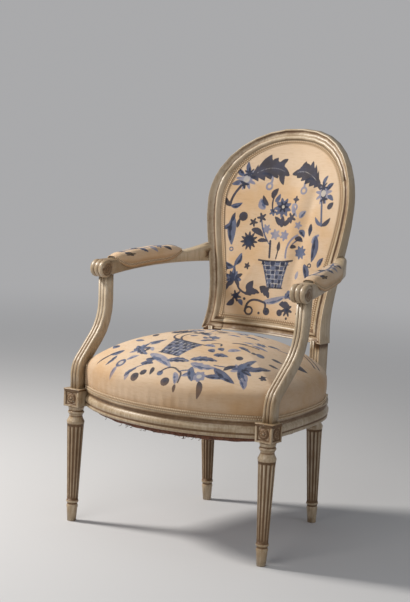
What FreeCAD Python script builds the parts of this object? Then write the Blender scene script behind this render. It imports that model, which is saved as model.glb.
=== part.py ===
import FreeCAD, Part
import math
import os

Vector = FreeCAD.Vector

# An upholstered armchair with a painted beech frame: turned and fluted legs under square
# corner blocks, a bowed seat frame, an arched back that is raked and hollow in plan,
# scrolled arms on swept supports, and stuffed seat, back and arm pads.
# +X is the sitter's left, -Y is the front, +Z is up, all in millimetres.

# Seat frame
front_leg_spacing = 515.0
rear_leg_spacing = 298.0
rear_leg_setback = 374.0
rear_leg_splay = 16.0
rail_underside = 267.0
rail_height = 40.0
rail_thickness = 28.0
front_rail_reach = 78.0
front_rail_end_setback = 5.0
front_rail_end_thickness = 15.0
side_rail_toe_in = 0.5
side_rail_bend_inset = 19.5
side_rail_bend_setback = 250.0
rear_corner_overhang = 21.0
rear_corner_setback = 11.0
rear_rail_thickness = 24.0
rear_rail_bow = 8.0
brace_reach = 62.0
brace_thickness = 20.0

# Moulding along the seat frame
lower_bead = 9.0
main_bead = 15.0
bead_relief = 4.0
cove_depth = 6.5
cove_height = 10.5
top_fillet_inset = 2.5

# Legs
block_width = 41.0
block_lip = 1.0
block_lip_height = 2.6
panel_width = 29.0
panel_depth = 1.6
rosette_radius = 12.0
foot_height = 41.0
ankle_height = 9.0
collar_height = 14.0
collar_drop = 43.0
foot_floor_radius = 10.0
foot_top_radius = 13.2
ankle_radius = 14.4
shaft_bottom_radius = 12.6
shaft_top_radius = 19.0
collar_radius = 20.5
neck_radius = 15.5
astragal_radius = 18.8
astragal_height = 7.0
rear_shaft_top_radius = 18.5
flute_count = 12
flute_land_top = 3.4
flute_land_bottom = 2.3
flute_roundness = 0.75

# Back frame
back_setback = 350.0
back_bottom = 426.0
back_top = 911.0
back_corner_half_width = 165.7
waist_half_width = 158.5
waist_height = 482.0
widest_half_width = 193.4
widest_height = 735.0
arch_power = 0.916
back_rake = 13.2
back_hollow_bottom = 28.7
back_hollow_top = 70.5
frame_depth_bottom = 49.0
frame_depth_top = 25.0
frame_face_width = 27.9
rebate_width = 10.0
rebate_depth = 12.0
rear_rebate_depth = 3.0
post_width = 25.0
post_inset = 4.0
lower_rail_half_length = 115.0
crest_joint_angle = 24.0

# Arms and their supports
arm_front_half_spacing = 267.0
arm_front_setback = 83.0
arm_front_heading = 3.5
arm_rear_half_spacing = 184.0
arm_rear_setback = 390.0
arm_half_width_front = 18.0
arm_half_width_rear = 14.0
scroll_height = 574.0
scroll_radius = 20.5
reed_count = 3
reed_relief = 2.2
volute_depth = 1.3
arm_front_drop = 18.0
arm_underside_rise = 28.0
arm_top_rise = 14.0
arm_rear_flare = 19.0
arm_end_round = 0.07
support_width = 24.6
support_depth = 28.0
support_foot_setback = 3.5
support_top_setback = 101.0
support_lower_bend_height = 356.0
support_upper_bend_height = 452.0
support_lower_bend_radius = 40.0
support_upper_bend_radius = 120.0

# Upholstery
seat_edge_inset = 5.0
seat_wall_height = 60.0
seat_wall_bulge = 3.5
seat_crown = 83.0
seat_crown_power = 2.5
seat_centre_setback = 165.0
cover_thickness = 1.5
webbing_width = 52.0
webbing_thickness = 1.2
base_cloth_thickness = 0.8
webbing_gap = 14.0
sag_depth = 22.0
gimp_width = 10.0
gimp_thickness = 2.0
back_pad_crown = 17.0
back_pad_edge_depth = 3.0
back_layer_flats = 8
arm_pad_start = 34.0
arm_pad_length = 206.0
arm_pad_crown = 19.0
arm_pad_side_swell = 4.0

# Round mouldings are cut in flats of at most this many degrees
chord_angle = 55.0
turned_sides = 18
scroll_sides = 20
volute_flats = 9
petal_count = 8

# Joints
tenon_thickness = 9.0
tenon_length = 18.0
tenon_height = 16.0
tenon_clearance = 0.2
mortise_end_gap = 1.0
peg_diameter = 6.0
soft_clearance = 0.3

# Places that follow from the sizes
rail_top = rail_underside + rail_height
rail_middle = rail_underside + rail_height / 2
front_leg_x = front_leg_spacing / 2
rear_leg_x = rear_leg_spacing / 2
half_block = block_width / 2
block_inner_x = front_leg_x - half_block
rear_block_inner_x = rear_leg_x - half_block
rear_block_front = rear_leg_setback - half_block
rear_block_back = rear_leg_setback + half_block
rake_slope = math.tan(math.radians(back_rake))
frame_total_width = frame_face_width + rebate_width


def round_member(first, middle, last):
    """The arc through three points as chords of at most chord_angle each."""
    arc = Part.Arc(Vector(*first, 0), Vector(*middle, 0), Vector(*last, 0)).toShape()
    sweep = math.degrees(arc.Length / arc.Curve.Radius)
    count = max(2, math.ceil(sweep / chord_angle))
    return [(p.x, p.y) for p in arc.discretize(count + 1)][1:]


def outline_points(start, steps):
    """A moulding's outline: a step of one point is a line to it, and a step of two points is
    a round member through the first to the second."""
    points = [start]
    for step in steps:
        if len(step) == 1:
            points.append(step[0])
        else:
            points += round_member(points[-1], step[0], step[1])
    return points


def outline_face(place, start, steps):
    corners = [place(*point) for point in outline_points(start, steps)]
    return Part.Face(Part.makePolygon(corners + [corners[0]]))


def flat_faces(a, b, c, d):
    """The quad a b c d as one flat face where it is flat, or as two triangles that meet on
    the diagonal whose middle lies further forward."""
    normal = (b - a).cross(c - a)
    if normal.Length > 1e-9 and abs((d - a).dot(normal)) < 1e-6 * normal.Length:
        return [Part.Face(Part.makePolygon([a, b, c, d, a]))]
    halves = [[a, b, c, a], [a, c, d, a]]
    if (b + d).y < (a + c).y:
        halves = [[b, c, d, b], [b, d, a, b]]
    return [Part.Face(Part.makePolygon(corners)) for corners in halves]


def ruled_body(sections):
    """A solid whose straight-sided sections, alike in count, are joined by flat facets."""
    faces = []
    for near, far in zip(sections[:-1], sections[1:]):
        for i in range(len(near)):
            j = (i + 1) % len(near)
            faces += flat_faces(near[i], near[j], far[j], far[i])
    for end in (sections[0], sections[-1]):
        faces.append(Part.Face(Part.makePolygon(end + [end[0]])))
    shell = Part.makeShell(faces)
    shell.sewShape()
    body = Part.makeSolid(shell)
    if body.Volume < 0:
        body.reverse()
    return body


def box(x0, x1, y0, y1, z0, z1):
    return Part.makeBox(x1 - x0, y1 - y0, z1 - z0, Vector(x0, y0, z0))


def bar(start, direction, across, length, width, height):
    """A straight bar from start along direction, width along across and height square to both."""
    direction = Vector(direction).normalize()
    across = Vector(across)
    across = (across - direction * direction.dot(across)).normalize()
    up = direction.cross(across)
    corners = []
    for side, rise in ((-1, -1), (1, -1), (1, 1), (-1, 1)):
        corners.append(start + across * (side * width / 2) + up * (rise * height / 2))
    face = Part.Face(Part.makePolygon(corners + [corners[0]]))
    return face.extrude(direction * length)


def tenon_and_mortise(start, direction, across, width, height, length=tenon_length):
    """A tenon that leaves its rail at start, and the roomier hole that takes it."""
    direction = Vector(direction).normalize()
    root = start - direction * 4
    tenon = bar(root, direction, across, length + 4, width, height)
    hole = bar(
        root, direction, across, length + 4 + mortise_end_gap,
        width + 2 * tenon_clearance, height + 2 * tenon_clearance,
    )
    return tenon, hole


def peg_and_hole(start, direction, length):
    """A riven eight-sided peg and the hole that it is driven through."""
    shapes = []
    for radius in (peg_diameter / 2, peg_diameter / 2 + tenon_clearance / 2):
        angles = [math.pi * i / 4 for i in range(8)]
        ring = [start + Vector(radius * math.cos(a), radius * math.sin(a), 0) for a in angles]
        shapes.append(ruled_body([ring, [point + direction * length for point in ring]]))
    return shapes


def biggest(shape):
    return max(shape.Solids, key=lambda solid: solid.Volume)


def moved(shape, x, y, z):
    copy = shape.copy()
    copy.translate(Vector(x, y, z))
    return copy


def mirrored(shape):
    return shape.mirror(Vector(0, 0, 0), Vector(1, 0, 0))


def arc_between(start, heading, end):
    """Centre, radius and polar angles of the plan arc that leaves start at heading, which
    is measured from +Y towards -X, and ends at end."""
    dx = end[0] - start[0]
    dy = end[1] - start[1]
    chord_heading = math.degrees(math.atan2(-dx, dy))
    sweep = 2 * (chord_heading - heading)
    radius = math.hypot(dx, dy) / (2 * math.sin(math.radians(sweep / 2)))
    centre_x = start[0] - radius * math.cos(math.radians(heading))
    centre_y = start[1] - radius * math.sin(math.radians(heading))
    return centre_x, centre_y, radius, heading, heading + sweep


def on_arc(arc, angle, outward=0.0):
    centre_x, centre_y, radius = arc[:3]
    reach = radius + outward
    x = centre_x + reach * math.cos(math.radians(angle))
    y = centre_y + reach * math.sin(math.radians(angle))
    return x, y


def arc_run(arc, start, steps):
    """A profile of (outward, height) points carried round a plan arc."""
    centre_x, centre_y, radius, first, last = arc

    def place(outward, height):
        x, y = on_arc(arc, first, outward)
        return Vector(x, y, height)

    face = outline_face(place, start, steps)
    return face.revolve(Vector(centre_x, centre_y, 0), Vector(0, 0, 1), last - first)


# Plan arcs of the seat frame's outer line, on the sitter's left half and the front
front_sag = front_rail_reach + front_rail_end_setback
front_radius = (block_inner_x ** 2 + front_sag ** 2) / (2 * front_sag)
front_half_angle = math.degrees(math.asin((block_inner_x + 12) / front_radius))
front_arc = (
    0.0, front_radius - front_rail_reach, front_radius,
    -90 - front_half_angle, -90 + front_half_angle,
)
side_start = (front_leg_x, half_block)
side_bend = (front_leg_x - side_rail_bend_inset, side_rail_bend_setback)
rear_corner = (rear_leg_x + rear_corner_overhang, rear_leg_setback + rear_corner_setback)
side_front_arc = arc_between(side_start, side_rail_toe_in, side_bend)
side_rear_arc = arc_between(side_bend, side_front_arc[4], rear_corner)
rear_line_y = rear_block_back - 3
rear_radius = (rear_corner[0] ** 2 + rear_rail_bow ** 2) / (2 * rear_rail_bow)
rear_half_angle = math.degrees(math.asin(rear_corner[0] / rear_radius))
rear_arc = (
    0.0, rear_line_y + rear_rail_bow - rear_radius, rear_radius,
    90 - rear_half_angle, 90 + rear_half_angle,
)


def rail_moulding(back):
    """The seat rail's section: a small lower bead, the main bead, a cove and a top fillet."""
    bead_foot = rail_underside + 0.8
    bead_line = bead_foot + lower_bead - 0.8
    cove_line = bead_line + main_bead
    fillet_line = cove_line + cove_height
    start = (-back, rail_underside)
    steps = [
        ((-bead_relief - 1, rail_underside),),
        ((-1.6, (bead_foot + bead_line) / 2), (-bead_relief, bead_line)),
        ((0.0, bead_line + main_bead / 2), (-bead_relief, cove_line)),
        ((-cove_depth, cove_line + cove_height / 2), (-top_fillet_inset - 0.5, fillet_line)),
        ((-top_fillet_inset, fillet_line),),
        ((-top_fillet_inset, rail_top),),
        ((-back, rail_top),),
    ]
    return start, steps


# Legs
def turned(start, steps):
    """A turned form about +Z, with turned_sides facets round it."""
    rings = []
    for radius, height in outline_points(start, steps):
        angles = [2 * math.pi * i / turned_sides for i in range(turned_sides)]
        rings.append([Vector(radius * math.cos(a), radius * math.sin(a), height) for a in angles])
    return ruled_body(rings)


def foot():
    """Tapered foot under a ring at the ankle."""
    top = foot_height + ankle_height
    waist = shaft_bottom_radius + 0.3
    return turned((foot_floor_radius, 0.0), [
        ((foot_top_radius - 1, foot_height * 0.72),),
        ((foot_top_radius, foot_height * 0.87), (foot_top_radius - 2, foot_height)),
        ((waist - 1.3, foot_height),),
        ((ankle_radius, foot_height + ankle_height / 2), (waist, top)),
    ])


def capital(shaft_top):
    """Collar, neck and ring over the shaft, flaring out to the square block."""
    collar = rail_underside - collar_drop
    neck = collar + collar_height
    ring = rail_underside - 11 - astragal_height
    swell = collar_radius - shaft_top_radius
    return turned((shaft_top + 0.3, collar), [
        ((shaft_top + swell, collar + collar_height / 2), (shaft_top - 2, neck)),
        ((neck_radius, neck + 2.5), (neck_radius + 1, ring)),
        ((astragal_radius, ring + astragal_height / 2), (neck_radius + 1, ring + astragal_height)),
        ((half_block - 1.5, rail_underside),),
    ])


def flute_ring(radius, height, land, spread, sink):
    """The shaft's outline at one height. Each flute is spread over its share of the girth
    and sunk by a share of its full depth."""
    pitch = 2 * math.pi / flute_count
    half = (pitch - land / radius) / 2
    depth = radius * half * flute_roundness * sink
    points = []
    for i in range(flute_count):
        for share, low in ((-1.0, 0.0), (-0.5, 1.0), (0.5, 1.0), (1.0, 0.0)):
            angle = i * pitch + half * share * spread
            reach = radius - depth * low
            points.append(Vector(reach * math.cos(angle), reach * math.sin(angle), height))
    return points


def fluted_shaft(shaft_top):
    """A tapered shaft with round-ended flutes."""
    low = foot_height + ankle_height
    high = rail_underside - collar_drop
    sections = []
    for rise, spread, sink in ((0.0, 0.4, 0.0), (5.0, 0.85, 0.8), (11.0, 1.0, 1.0)):
        sections.append((low + rise, spread, sink))
        sections.append((high - rise, spread, sink))
    rings = []
    for height, spread, sink in sorted(sections):
        share = (height - low) / (high - low)
        radius = shaft_bottom_radius + (shaft_top - shaft_bottom_radius) * share
        land = flute_land_bottom + (flute_land_top - flute_land_bottom) * share
        rings.append(flute_ring(radius, height, land, spread, sink))
    return ruled_body(rings)


def turned_leg(shaft_top):
    return foot().fuse([fluted_shaft(shaft_top), capital(shaft_top)])


def rosette(centre, outward):
    """A petalled button standing on the floor of a carved square panel."""
    side = outward.cross(Vector(0, 0, 1))
    up = Vector(0, 0, 1)
    rings = []
    for reach, height, scallop in ((1.0, -0.5, 0.1), (1.0, 0.9, 0.1), (0.7, 2.3, 0.16),
                                   (0.36, 0.9, 0.1), (0.24, 2.7, 0.0)):
        ring = []
        for i in range(3 * petal_count):
            angle = 2 * math.pi * i / (3 * petal_count)
            radius = rosette_radius * reach * (1 + scallop * (math.cos(petal_count * angle) - 1))
            in_plane = side * (radius * math.cos(angle)) + up * (radius * math.sin(angle))
            ring.append(centre + in_plane + outward * height)
        rings.append(ring)
    return ruled_body(rings)


def front_block():
    """The square block over a front leg, with a lip and a rosette panel on its two show faces."""
    low = rail_underside - 0.5
    block = box(-half_block, half_block, -half_block, half_block, low, rail_top)
    lip = half_block + block_lip
    block = block.fuse(box(-lip, lip, -lip, lip, rail_top - block_lip_height, rail_top))
    half_panel = panel_width / 2
    middle = rail_middle - 1
    for outward in (Vector(0, -1, 0), Vector(1, 0, 0)):
        centre = outward * (half_block - panel_depth)
        centre.z = middle
        side = outward.cross(Vector(0, 0, 1))
        block = block.cut(bar(centre, outward, side, panel_depth + 2, 2 * half_panel, 2 * half_panel))
        block = block.fuse(rosette(centre, outward))
    return block


def front_leg():
    leg = turned_leg(shaft_top_radius).fuse(front_block())
    leg.translate(Vector(front_leg_x, 0, 0))
    return leg


# Back frame
def back_face_y(x, z):
    """The raked front face of the back, hollow in plan by a parabola that deepens upwards."""
    rise = (z - back_bottom) / (back_top - back_bottom)
    low = back_hollow_bottom / back_corner_half_width ** 2
    high = back_hollow_top / widest_half_width ** 2
    hollow = low + (high - low) * rise
    return back_setback + back_hollow_bottom + (z - back_bottom) * rake_slope - hollow * x * x


def frame_depth(z):
    rise = (z - back_bottom) / (back_top - back_bottom)
    return frame_depth_bottom + (frame_depth_top - frame_depth_bottom) * rise


def stile_x(z):
    """Outer edge of a stile: flared at the foot, drawn in at the waist, then swelling."""
    if z < waist_height:
        t = (z - back_bottom) / (waist_height - back_bottom)
        flare = back_corner_half_width - waist_half_width
        ease = 2 * t ** 3 - 3 * t ** 2 + 1
        lead = t ** 3 - 2 * t ** 2 + t
        return waist_half_width + flare * (ease - 1.6 * lead)
    t = (z - waist_height) / (widest_height - waist_height)
    return waist_half_width + (widest_half_width - waist_half_width) * t * t * (3 - 2 * t)


def arch_point(angle):
    """The arched top: a half ellipse, a little squarer than a true one."""
    t = math.radians(angle)
    x = widest_half_width * max(math.cos(t), 0.0) ** arch_power
    return x, widest_height + (back_top - widest_height) * math.sin(t)


def outline_point(s):
    """The outer edge of the back's left half: s is 0 at the bottom corner, 1 at the widest
    place and 2 at the middle of the crest."""
    if s <= 1:
        z = back_bottom + (widest_height - back_bottom) * s
        return stile_x(z), z
    return arch_point(90 * (s - 1))


def inset_point(s, inset):
    """The outer edge moved inwards by inset, square to itself."""
    step = 0.002
    x0, z0 = outline_point(max(s - step, 0.0))
    x1, z1 = outline_point(min(s + step, 2.0))
    length = math.hypot(x1 - x0, z1 - z0)
    x, z = outline_point(s)
    return x - inset * (z1 - z0) / length, z + inset * (x1 - x0) / length


def corner_mitre():
    """Inner end of the mitre line at the bottom corner."""
    x0, z0 = outline_point(0.0)
    x1, z1 = outline_point(0.004)
    length = math.hypot(x1 - x0, z1 - z0)
    normal_x = -(z1 - z0) / length
    normal_z = (x1 - x0) / length
    scale = frame_total_width / (1 + normal_z)
    return x0 + normal_x * scale, z0 + (normal_z + 1) * scale


first_square_station = 0.17


def stile_station(s):
    """Outer and inner point of the frame at s. Below the first square station the line
    between them turns gradually into the corner's mitre."""
    inner = inset_point(s, frame_total_width)
    if s < first_square_station:
        far = inset_point(first_square_station, frame_total_width)
        near = corner_mitre()
        t = s / first_square_station
        inner = (near[0] + (far[0] - near[0]) * t, near[1] + (far[1] - near[1]) * t)
    return outline_point(s), inner


def frame_section(outer, inner):
    """The back frame's moulded section between an outer and an inner point."""

    def place(inward, depth):
        t = inward / frame_total_width
        x = outer[0] + (inner[0] - outer[0]) * t
        z = outer[1] + (inner[1] - outer[1]) * t
        return Vector(x, back_face_y(x, z) + depth, z)

    deep = frame_depth(outer[1])
    face = frame_face_width
    bead = face - 7.5
    points = [
        (0.0, 2.4), (1.0, 0.7), (3.4, 0.7), (4.6, 2.6), (bead - 9, 4.0), (bead - 4.4, 2.6),
        (bead - 3.4, 0.9), (bead, 0.0), (bead + 3.2, 1.0), (bead + 4.4, 3.2), (face, 4.6),
        (face, rebate_depth), (frame_total_width, rebate_depth),
        (frame_total_width, deep - rear_rebate_depth), (face, deep - rear_rebate_depth),
        (face, deep), (4.0, deep), (0.0, deep - 4),
    ]
    return [place(inward, depth) for inward, depth in points]


def frame_run(stations):
    return ruled_body([frame_section(outer, inner) for outer, inner in stations])


def bottom_station(x):
    return (x, back_bottom), (x, back_bottom + frame_total_width)


crest_joint = 1 + crest_joint_angle / 90
stile_run = [0.0, 0.04, 0.08, 0.12, first_square_station, 0.25, 0.37, 0.5, 0.62, 0.74, 0.87, 1.0]
stile_run += [1.06, 1.12, 1.19, crest_joint]


def rear_leg(stile):
    """Leg, block, post and stile in one length of wood, on the sitter's left."""
    splay_angle = math.degrees(math.atan2(rear_leg_splay, rail_underside))
    leg = turned_leg(rear_shaft_top_radius)
    leg = leg.fuse(turned((foot_floor_radius, -4.0), [((foot_floor_radius, 1.0),)]))
    leg.translate(Vector(0, 0, -rail_underside))
    leg.rotate(Vector(0, 0, 0), Vector(1, 0, 0), splay_angle)
    leg.translate(Vector(rear_leg_x, rear_leg_setback, rail_underside))
    leg = leg.cut(box(0, 2 * rear_leg_x, 0, 2 * rear_leg_setback, -50, 0))
    block = box(
        rear_leg_x - half_block, rear_leg_x + half_block,
        rear_block_front, rear_block_back, rail_underside - 1, rail_top,
    )
    start, steps = rail_moulding(rail_thickness)
    wing = arc_run(side_rear_arc, start, steps)
    keep = box(rear_leg_x, rear_leg_x + 200, rear_block_front, rear_block_back, 0, 2 * rail_top)
    wing = wing.common(keep)
    post_outer = back_corner_half_width - post_inset
    post_front = back_face_y(post_outer, back_bottom) + post_inset
    post = box(
        post_outer - post_width, post_outer, post_front, rear_block_back,
        rail_top - 5, back_bottom + 6,
    )
    middle_x = post_outer - post_width / 2
    for across in (-7, 0, 7):
        groove = Part.makeCylinder(2.4, 130, Vector(middle_x + across, post_front - 0.8, rail_top + 4))
        post = post.cut(groove)
    corner = frame_run([stile_station(0.0), bottom_station(lower_rail_half_length)])
    return leg.fuse([block, wing, post, stile, corner])


def crest_rail():
    half = []
    for i in range(7):
        s = crest_joint + (2 - crest_joint) * i / 6
        half.append((outline_point(s), inset_point(s, frame_total_width)))
    other = [((-outer[0], outer[1]), (-inner[0], inner[1])) for outer, inner in half[:-1]]
    return frame_run(half + other[::-1])


def lower_rail():
    count = 6
    xs = [lower_rail_half_length * (1 - 2 * i / count) for i in range(count + 1)]
    return frame_run([bottom_station(x) for x in xs])


# Seat rails
def front_rail_hollow(grow=0.0):
    """A cylinder whose side is the inner face of the front rail."""
    inner_end = front_rail_end_setback + front_rail_end_thickness
    inner_sag = front_rail_reach - rail_thickness + inner_end
    inner_radius = (block_inner_x ** 2 + inner_sag ** 2) / (2 * inner_sag)
    centre_y = inner_end - inner_sag + inner_radius
    return Part.makeCylinder(inner_radius + grow, 2 * rail_top, Vector(0, centre_y, 0))


def front_rail():
    start, steps = rail_moulding(rail_thickness + 40)
    run = arc_run(front_arc, start, steps).cut(front_rail_hollow())
    reach = 2 * front_rail_reach
    return run.common(box(-block_inner_x, block_inner_x, -reach, reach, 0, 2 * rail_top))


def side_rail():
    start, steps = rail_moulding(rail_thickness)
    rail = arc_run(side_front_arc, start, steps).fuse(arc_run(side_rear_arc, start, steps))
    keep = box(rear_leg_x, 2 * front_leg_x, half_block, rear_block_front, 0, 2 * rail_top)
    return rail.common(keep)


def rear_rail():
    bow = rear_rail_bow * (rear_block_inner_x / rear_corner[0]) ** 2
    back = rear_line_y + rear_rail_bow - bow

    def place(x, y):
        return Vector(x, y, rail_underside)

    x = rear_block_inner_x
    front = back - rear_rail_thickness
    edges = [
        Part.Arc(place(-x, back), place(0, back + bow), place(x, back)).toShape(),
        Part.makeLine(place(x, back), place(x, front)),
        Part.Arc(place(x, front), place(0, front + bow), place(-x, front)).toShape(),
        Part.makeLine(place(-x, front), place(-x, back)),
    ]
    return Part.Face(Part.Wire(edges)).extrude(Vector(0, 0, rail_height))


def corner_brace(corner, along_first, along_second):
    """A three-cornered block glued inside the seat frame's corner."""
    points = [corner, corner + along_first, corner + along_second]
    low = rail_underside + 3
    face = Part.Face(Part.makePolygon([Vector(p.x, p.y, low) for p in points + [points[0]]]))
    return face.extrude(Vector(0, 0, brace_thickness))


# Arms
arm_arc = arc_between(
    (arm_front_half_spacing, arm_front_setback), arm_front_heading,
    (arm_rear_half_spacing, arm_rear_setback),
)
arm_length = math.radians(arm_arc[4] - arm_arc[3]) * arm_arc[2]


def arm_underside(t):
    return scroll_height - arm_front_drop + arm_underside_rise * (1 - (1 - t) ** 2)


def arm_top(t):
    flare = arm_rear_flare * (max(t - 0.62, 0.0) / 0.38) ** 2
    return scroll_height + scroll_radius - 0.5 + arm_top_rise * t + flare


def arm_half_width(t):
    return arm_half_width_front + (arm_half_width_rear - arm_half_width_front) * t


def arm_place(t):
    """Maps (across, height) onto the upright plane that crosses the arm at t of its length."""
    angle = arm_arc[3] + (arm_arc[4] - arm_arc[3]) * t

    def place(across, height):
        x, y = on_arc(arm_arc, angle, across)
        return Vector(x, y, height)

    return place


def arm_section(t, grow=0.0):
    """A crossways section of the arm. Past t of 1 its outer half closes in a quarter round
    against the back's stile."""
    inner = arm_half_width(min(t, 1.0)) + grow
    outer = inner * math.sqrt(max(1 - (max(t - 1, 0.0) / arm_end_round) ** 2, 0.01))
    low = arm_underside(min(t, 1.0)) - grow
    high = arm_top(min(t, 1.0)) + grow
    place = arm_place(t)
    shape = [(0.83, low), (1.0, low + 3), (1.0, high - 8), (0.88, high - 3.5), (0.62, high)]
    right = [(outer * share, height) for share, height in shape]
    left = [(-inner * share, height) for share, height in reversed(shape)]
    return [place(across, height) for across, height in right + left]


def scroll():
    """The rolled front end of the arm: reeds side by side between two flat volute faces."""
    w = arm_half_width(0.0)
    place = arm_place(0.0)
    reed = 2 * w / reed_count
    valley = scroll_radius - reed_relief
    profile = []
    for i in range(reed_count):
        left = -w + i * reed
        for share, high in ((0.0, 0.0), (0.14, 0.65), (0.5, 1.0), (0.86, 0.65)):
            profile.append((left + reed * share, valley + reed_relief * high))
    profile.append((w, valley))
    rings = []
    for across, radius in profile:
        angles = [2 * math.pi * i / scroll_sides for i in range(scroll_sides)]
        ring = []
        for angle in angles:
            centre = place(across, scroll_height + radius * math.sin(angle))
            ring.append(centre + arm_forward() * (radius * math.cos(angle)))
        rings.append(ring)
    return ruled_body(rings)


def arm_forward():
    """The way the arm's front end points, level and square to its section."""
    heading = math.radians(arm_arc[3])
    return Vector(math.sin(heading), -math.cos(heading), 0)


def arm_blank(grow=0.0):
    steps = [0.0, 0.1, 0.2, 0.3, 0.4, 0.5, 0.6, 0.7, 0.78, 0.86, 0.93, 1.0]
    steps += [1 + arm_end_round * share for share in (0.36, 0.64, 0.86, 0.98)]
    return ruled_body([arm_section(t, grow) for t in steps])


def support_centre(count=7):
    """Centre line of an arm support in side view, as (y, z) and the heading from upright:
    upright, bent back, straight, bent upright again."""
    y0 = support_foot_setback
    y1 = support_top_setback
    z0 = support_lower_bend_height
    z1 = support_upper_bend_height
    turn = math.atan2(y1 - y0, z1 - z0)
    line = math.hypot(y1 - y0, z1 - z0)
    lower = support_lower_bend_radius * math.tan(turn / 2)
    upper = support_upper_bend_radius * math.tan(turn / 2)
    squeeze = min(1.0, line / (lower + upper + 1))
    lower_radius = support_lower_bend_radius * squeeze
    upper_radius = support_upper_bend_radius * squeeze
    lower *= squeeze
    upper *= squeeze
    points = [(y0, rail_top, 0.0)]
    for i in range(count):
        a = turn * i / (count - 1)
        y = y0 + lower_radius * (1 - math.cos(a))
        z = z0 - lower + lower_radius * math.sin(a)
        points.append((y, z, a))
    for i in range(count):
        a = turn * (1 - i / (count - 1))
        y = y1 - upper_radius * (1 - math.cos(a))
        z = z1 + upper - upper_radius * math.sin(a)
        points.append((y, z, a))
    points.append((y1, scroll_height, 0.0))
    return points


def support_x(z):
    lean = (arm_front_half_spacing - front_leg_x) / (scroll_height - rail_top)
    return front_leg_x + (z - rail_top) * lean


def support_section(y, z, heading):
    """The support's section, reeded on its front, square to its centre line. The plane of
    the whole support leans outwards."""
    half = support_width / 2
    front = -support_depth / 2
    back = support_depth / 2
    groove = half / 3
    points = [
        (-half, front + 2.6), (-half + 1.3, front + 0.7), (-groove - 1.2, front + 0.3),
        (-groove, front + 2.2), (-groove + 1.2, front), (groove - 1.2, front),
        (groove, front + 2.2), (groove + 1.2, front + 0.3), (half - 1.3, front + 0.7),
        (half, front + 2.6), (half, back - 2), (half - 2, back), (2 - half, back),
        (-half, back - 2),
    ]
    section = []
    for across, deep in points:
        height = z - deep * math.sin(heading)
        x = support_x(height) + across
        section.append(Vector(x, y + deep * math.cos(heading), height))
    return section


def support_blank():
    return ruled_body([support_section(y, z, a) for y, z, a in support_centre(5)])


# Upholstery
def circle_crossing(first, second, guess):
    """Where two plan circles (x, y, radius) cross, nearest to guess."""
    x0, y0, r0 = first
    x1, y1, r1 = second
    gap = math.hypot(x1 - x0, y1 - y0)
    along = (r0 ** 2 - r1 ** 2 + gap ** 2) / (2 * gap)
    off = math.sqrt(max(r0 ** 2 - along ** 2, 0.0))
    ux = (x1 - x0) / gap
    uy = (y1 - y0) / gap
    base_x = x0 + along * ux
    base_y = y0 + along * uy
    choices = [(base_x - off * uy, base_y + off * ux), (base_x + off * uy, base_y - off * ux)]
    return min(choices, key=lambda p: math.hypot(p[0] - guess[0], p[1] - guess[1]))


def shrunk(arc, inset):
    return arc[0], arc[1], arc[2] - inset


def seat_corners(inset):
    """Corners of the seat's plan on the sitter's left, inset from the frame's outer line."""
    front = circle_crossing(shrunk(front_arc, inset), shrunk(side_front_arc, inset), side_start)
    bend = on_arc(side_front_arc, side_front_arc[4], -inset)
    rear = circle_crossing(shrunk(side_rear_arc, inset), shrunk(rear_arc, inset), rear_corner)
    return front, bend, rear


def arc_points(arc, inset, first, last, count):
    """Points of an inset plan arc from first up to, but without, last."""
    a0 = math.atan2(first[1] - arc[1], first[0] - arc[0])
    a1 = math.atan2(last[1] - arc[1], last[0] - arc[0])
    angles = [math.degrees(a0 + (a1 - a0) * i / count) for i in range(count)]
    return [on_arc(arc, angle, -inset) for angle in angles]


def seat_ring(inset, height, scale=1.0):
    """The seat's plan, inset from the frame's line, then scaled about its centre."""
    front, bend, rear = seat_corners(inset)
    front_middle = (0.0, front_arc[1] - front_arc[2] + inset)
    rear_middle = (0.0, rear_arc[1] + rear_arc[2] - inset)
    half = arc_points(front_arc, inset, front_middle, front, 6)
    half += arc_points(side_front_arc, inset, front, bend, 4)
    half += arc_points(side_rear_arc, inset, bend, rear, 4)
    half += arc_points(rear_arc, inset, rear, rear_middle, 4)
    other = [(-x, y) for x, y in half[1:]]
    ring = half + [rear_middle] + other[::-1]
    centre = seat_centre_setback
    return [Vector(x * scale, centre + (y - centre) * scale, height) for x, y in ring]


def seat_plate(inset, low, thickness):
    return ruled_body([seat_ring(inset, low), seat_ring(inset, low + thickness)])


def seat_dome(shrink):
    """The stuffed seat: a wall that bulges a little, then a rounded shoulder and a crown."""
    inset = seat_edge_inset + shrink
    rings = [seat_ring(inset, rail_top)]
    for share, bulge in ((0.17, 0.0), (0.45, 0.9), (0.85, 0.6)):
        height = rail_top + (seat_wall_height - shrink) * share
        rings.append(seat_ring(inset - seat_wall_bulge * bulge, height))
    for scale in (0.98, 0.92, 0.8, 0.62, 0.38, 0.08):
        rise = seat_wall_height + seat_crown * (1 - scale ** seat_crown_power) - shrink
        rings.append(seat_ring(inset, rail_top + rise, scale))
    return ruled_body(rings)


def seat_notches(margin):
    """What the seat leaves free round each arm support and each back post."""
    front_x = front_leg_x - support_width / 2 - margin
    outside = 2 * front_leg_x
    sections = []
    for y, z, a in support_centre(3):
        reach = support_depth / 2 / math.cos(a) + margin
        corners = [(front_x, y - 90), (outside, y - 90), (outside, y + reach), (front_x, y + reach)]
        sections.append([Vector(x, deep, z) for x, deep in corners])
    support = ruled_body(sections)
    post_outer = back_corner_half_width - post_inset
    post_front = back_face_y(post_outer, back_bottom) + post_inset
    post = box(
        post_outer - post_width - margin, outside, post_front - margin, 2 * rear_leg_setback,
        rail_top, 2 * rail_top,
    )
    notches = [support, post]
    return notches + [mirrored(n) for n in notches]


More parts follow.
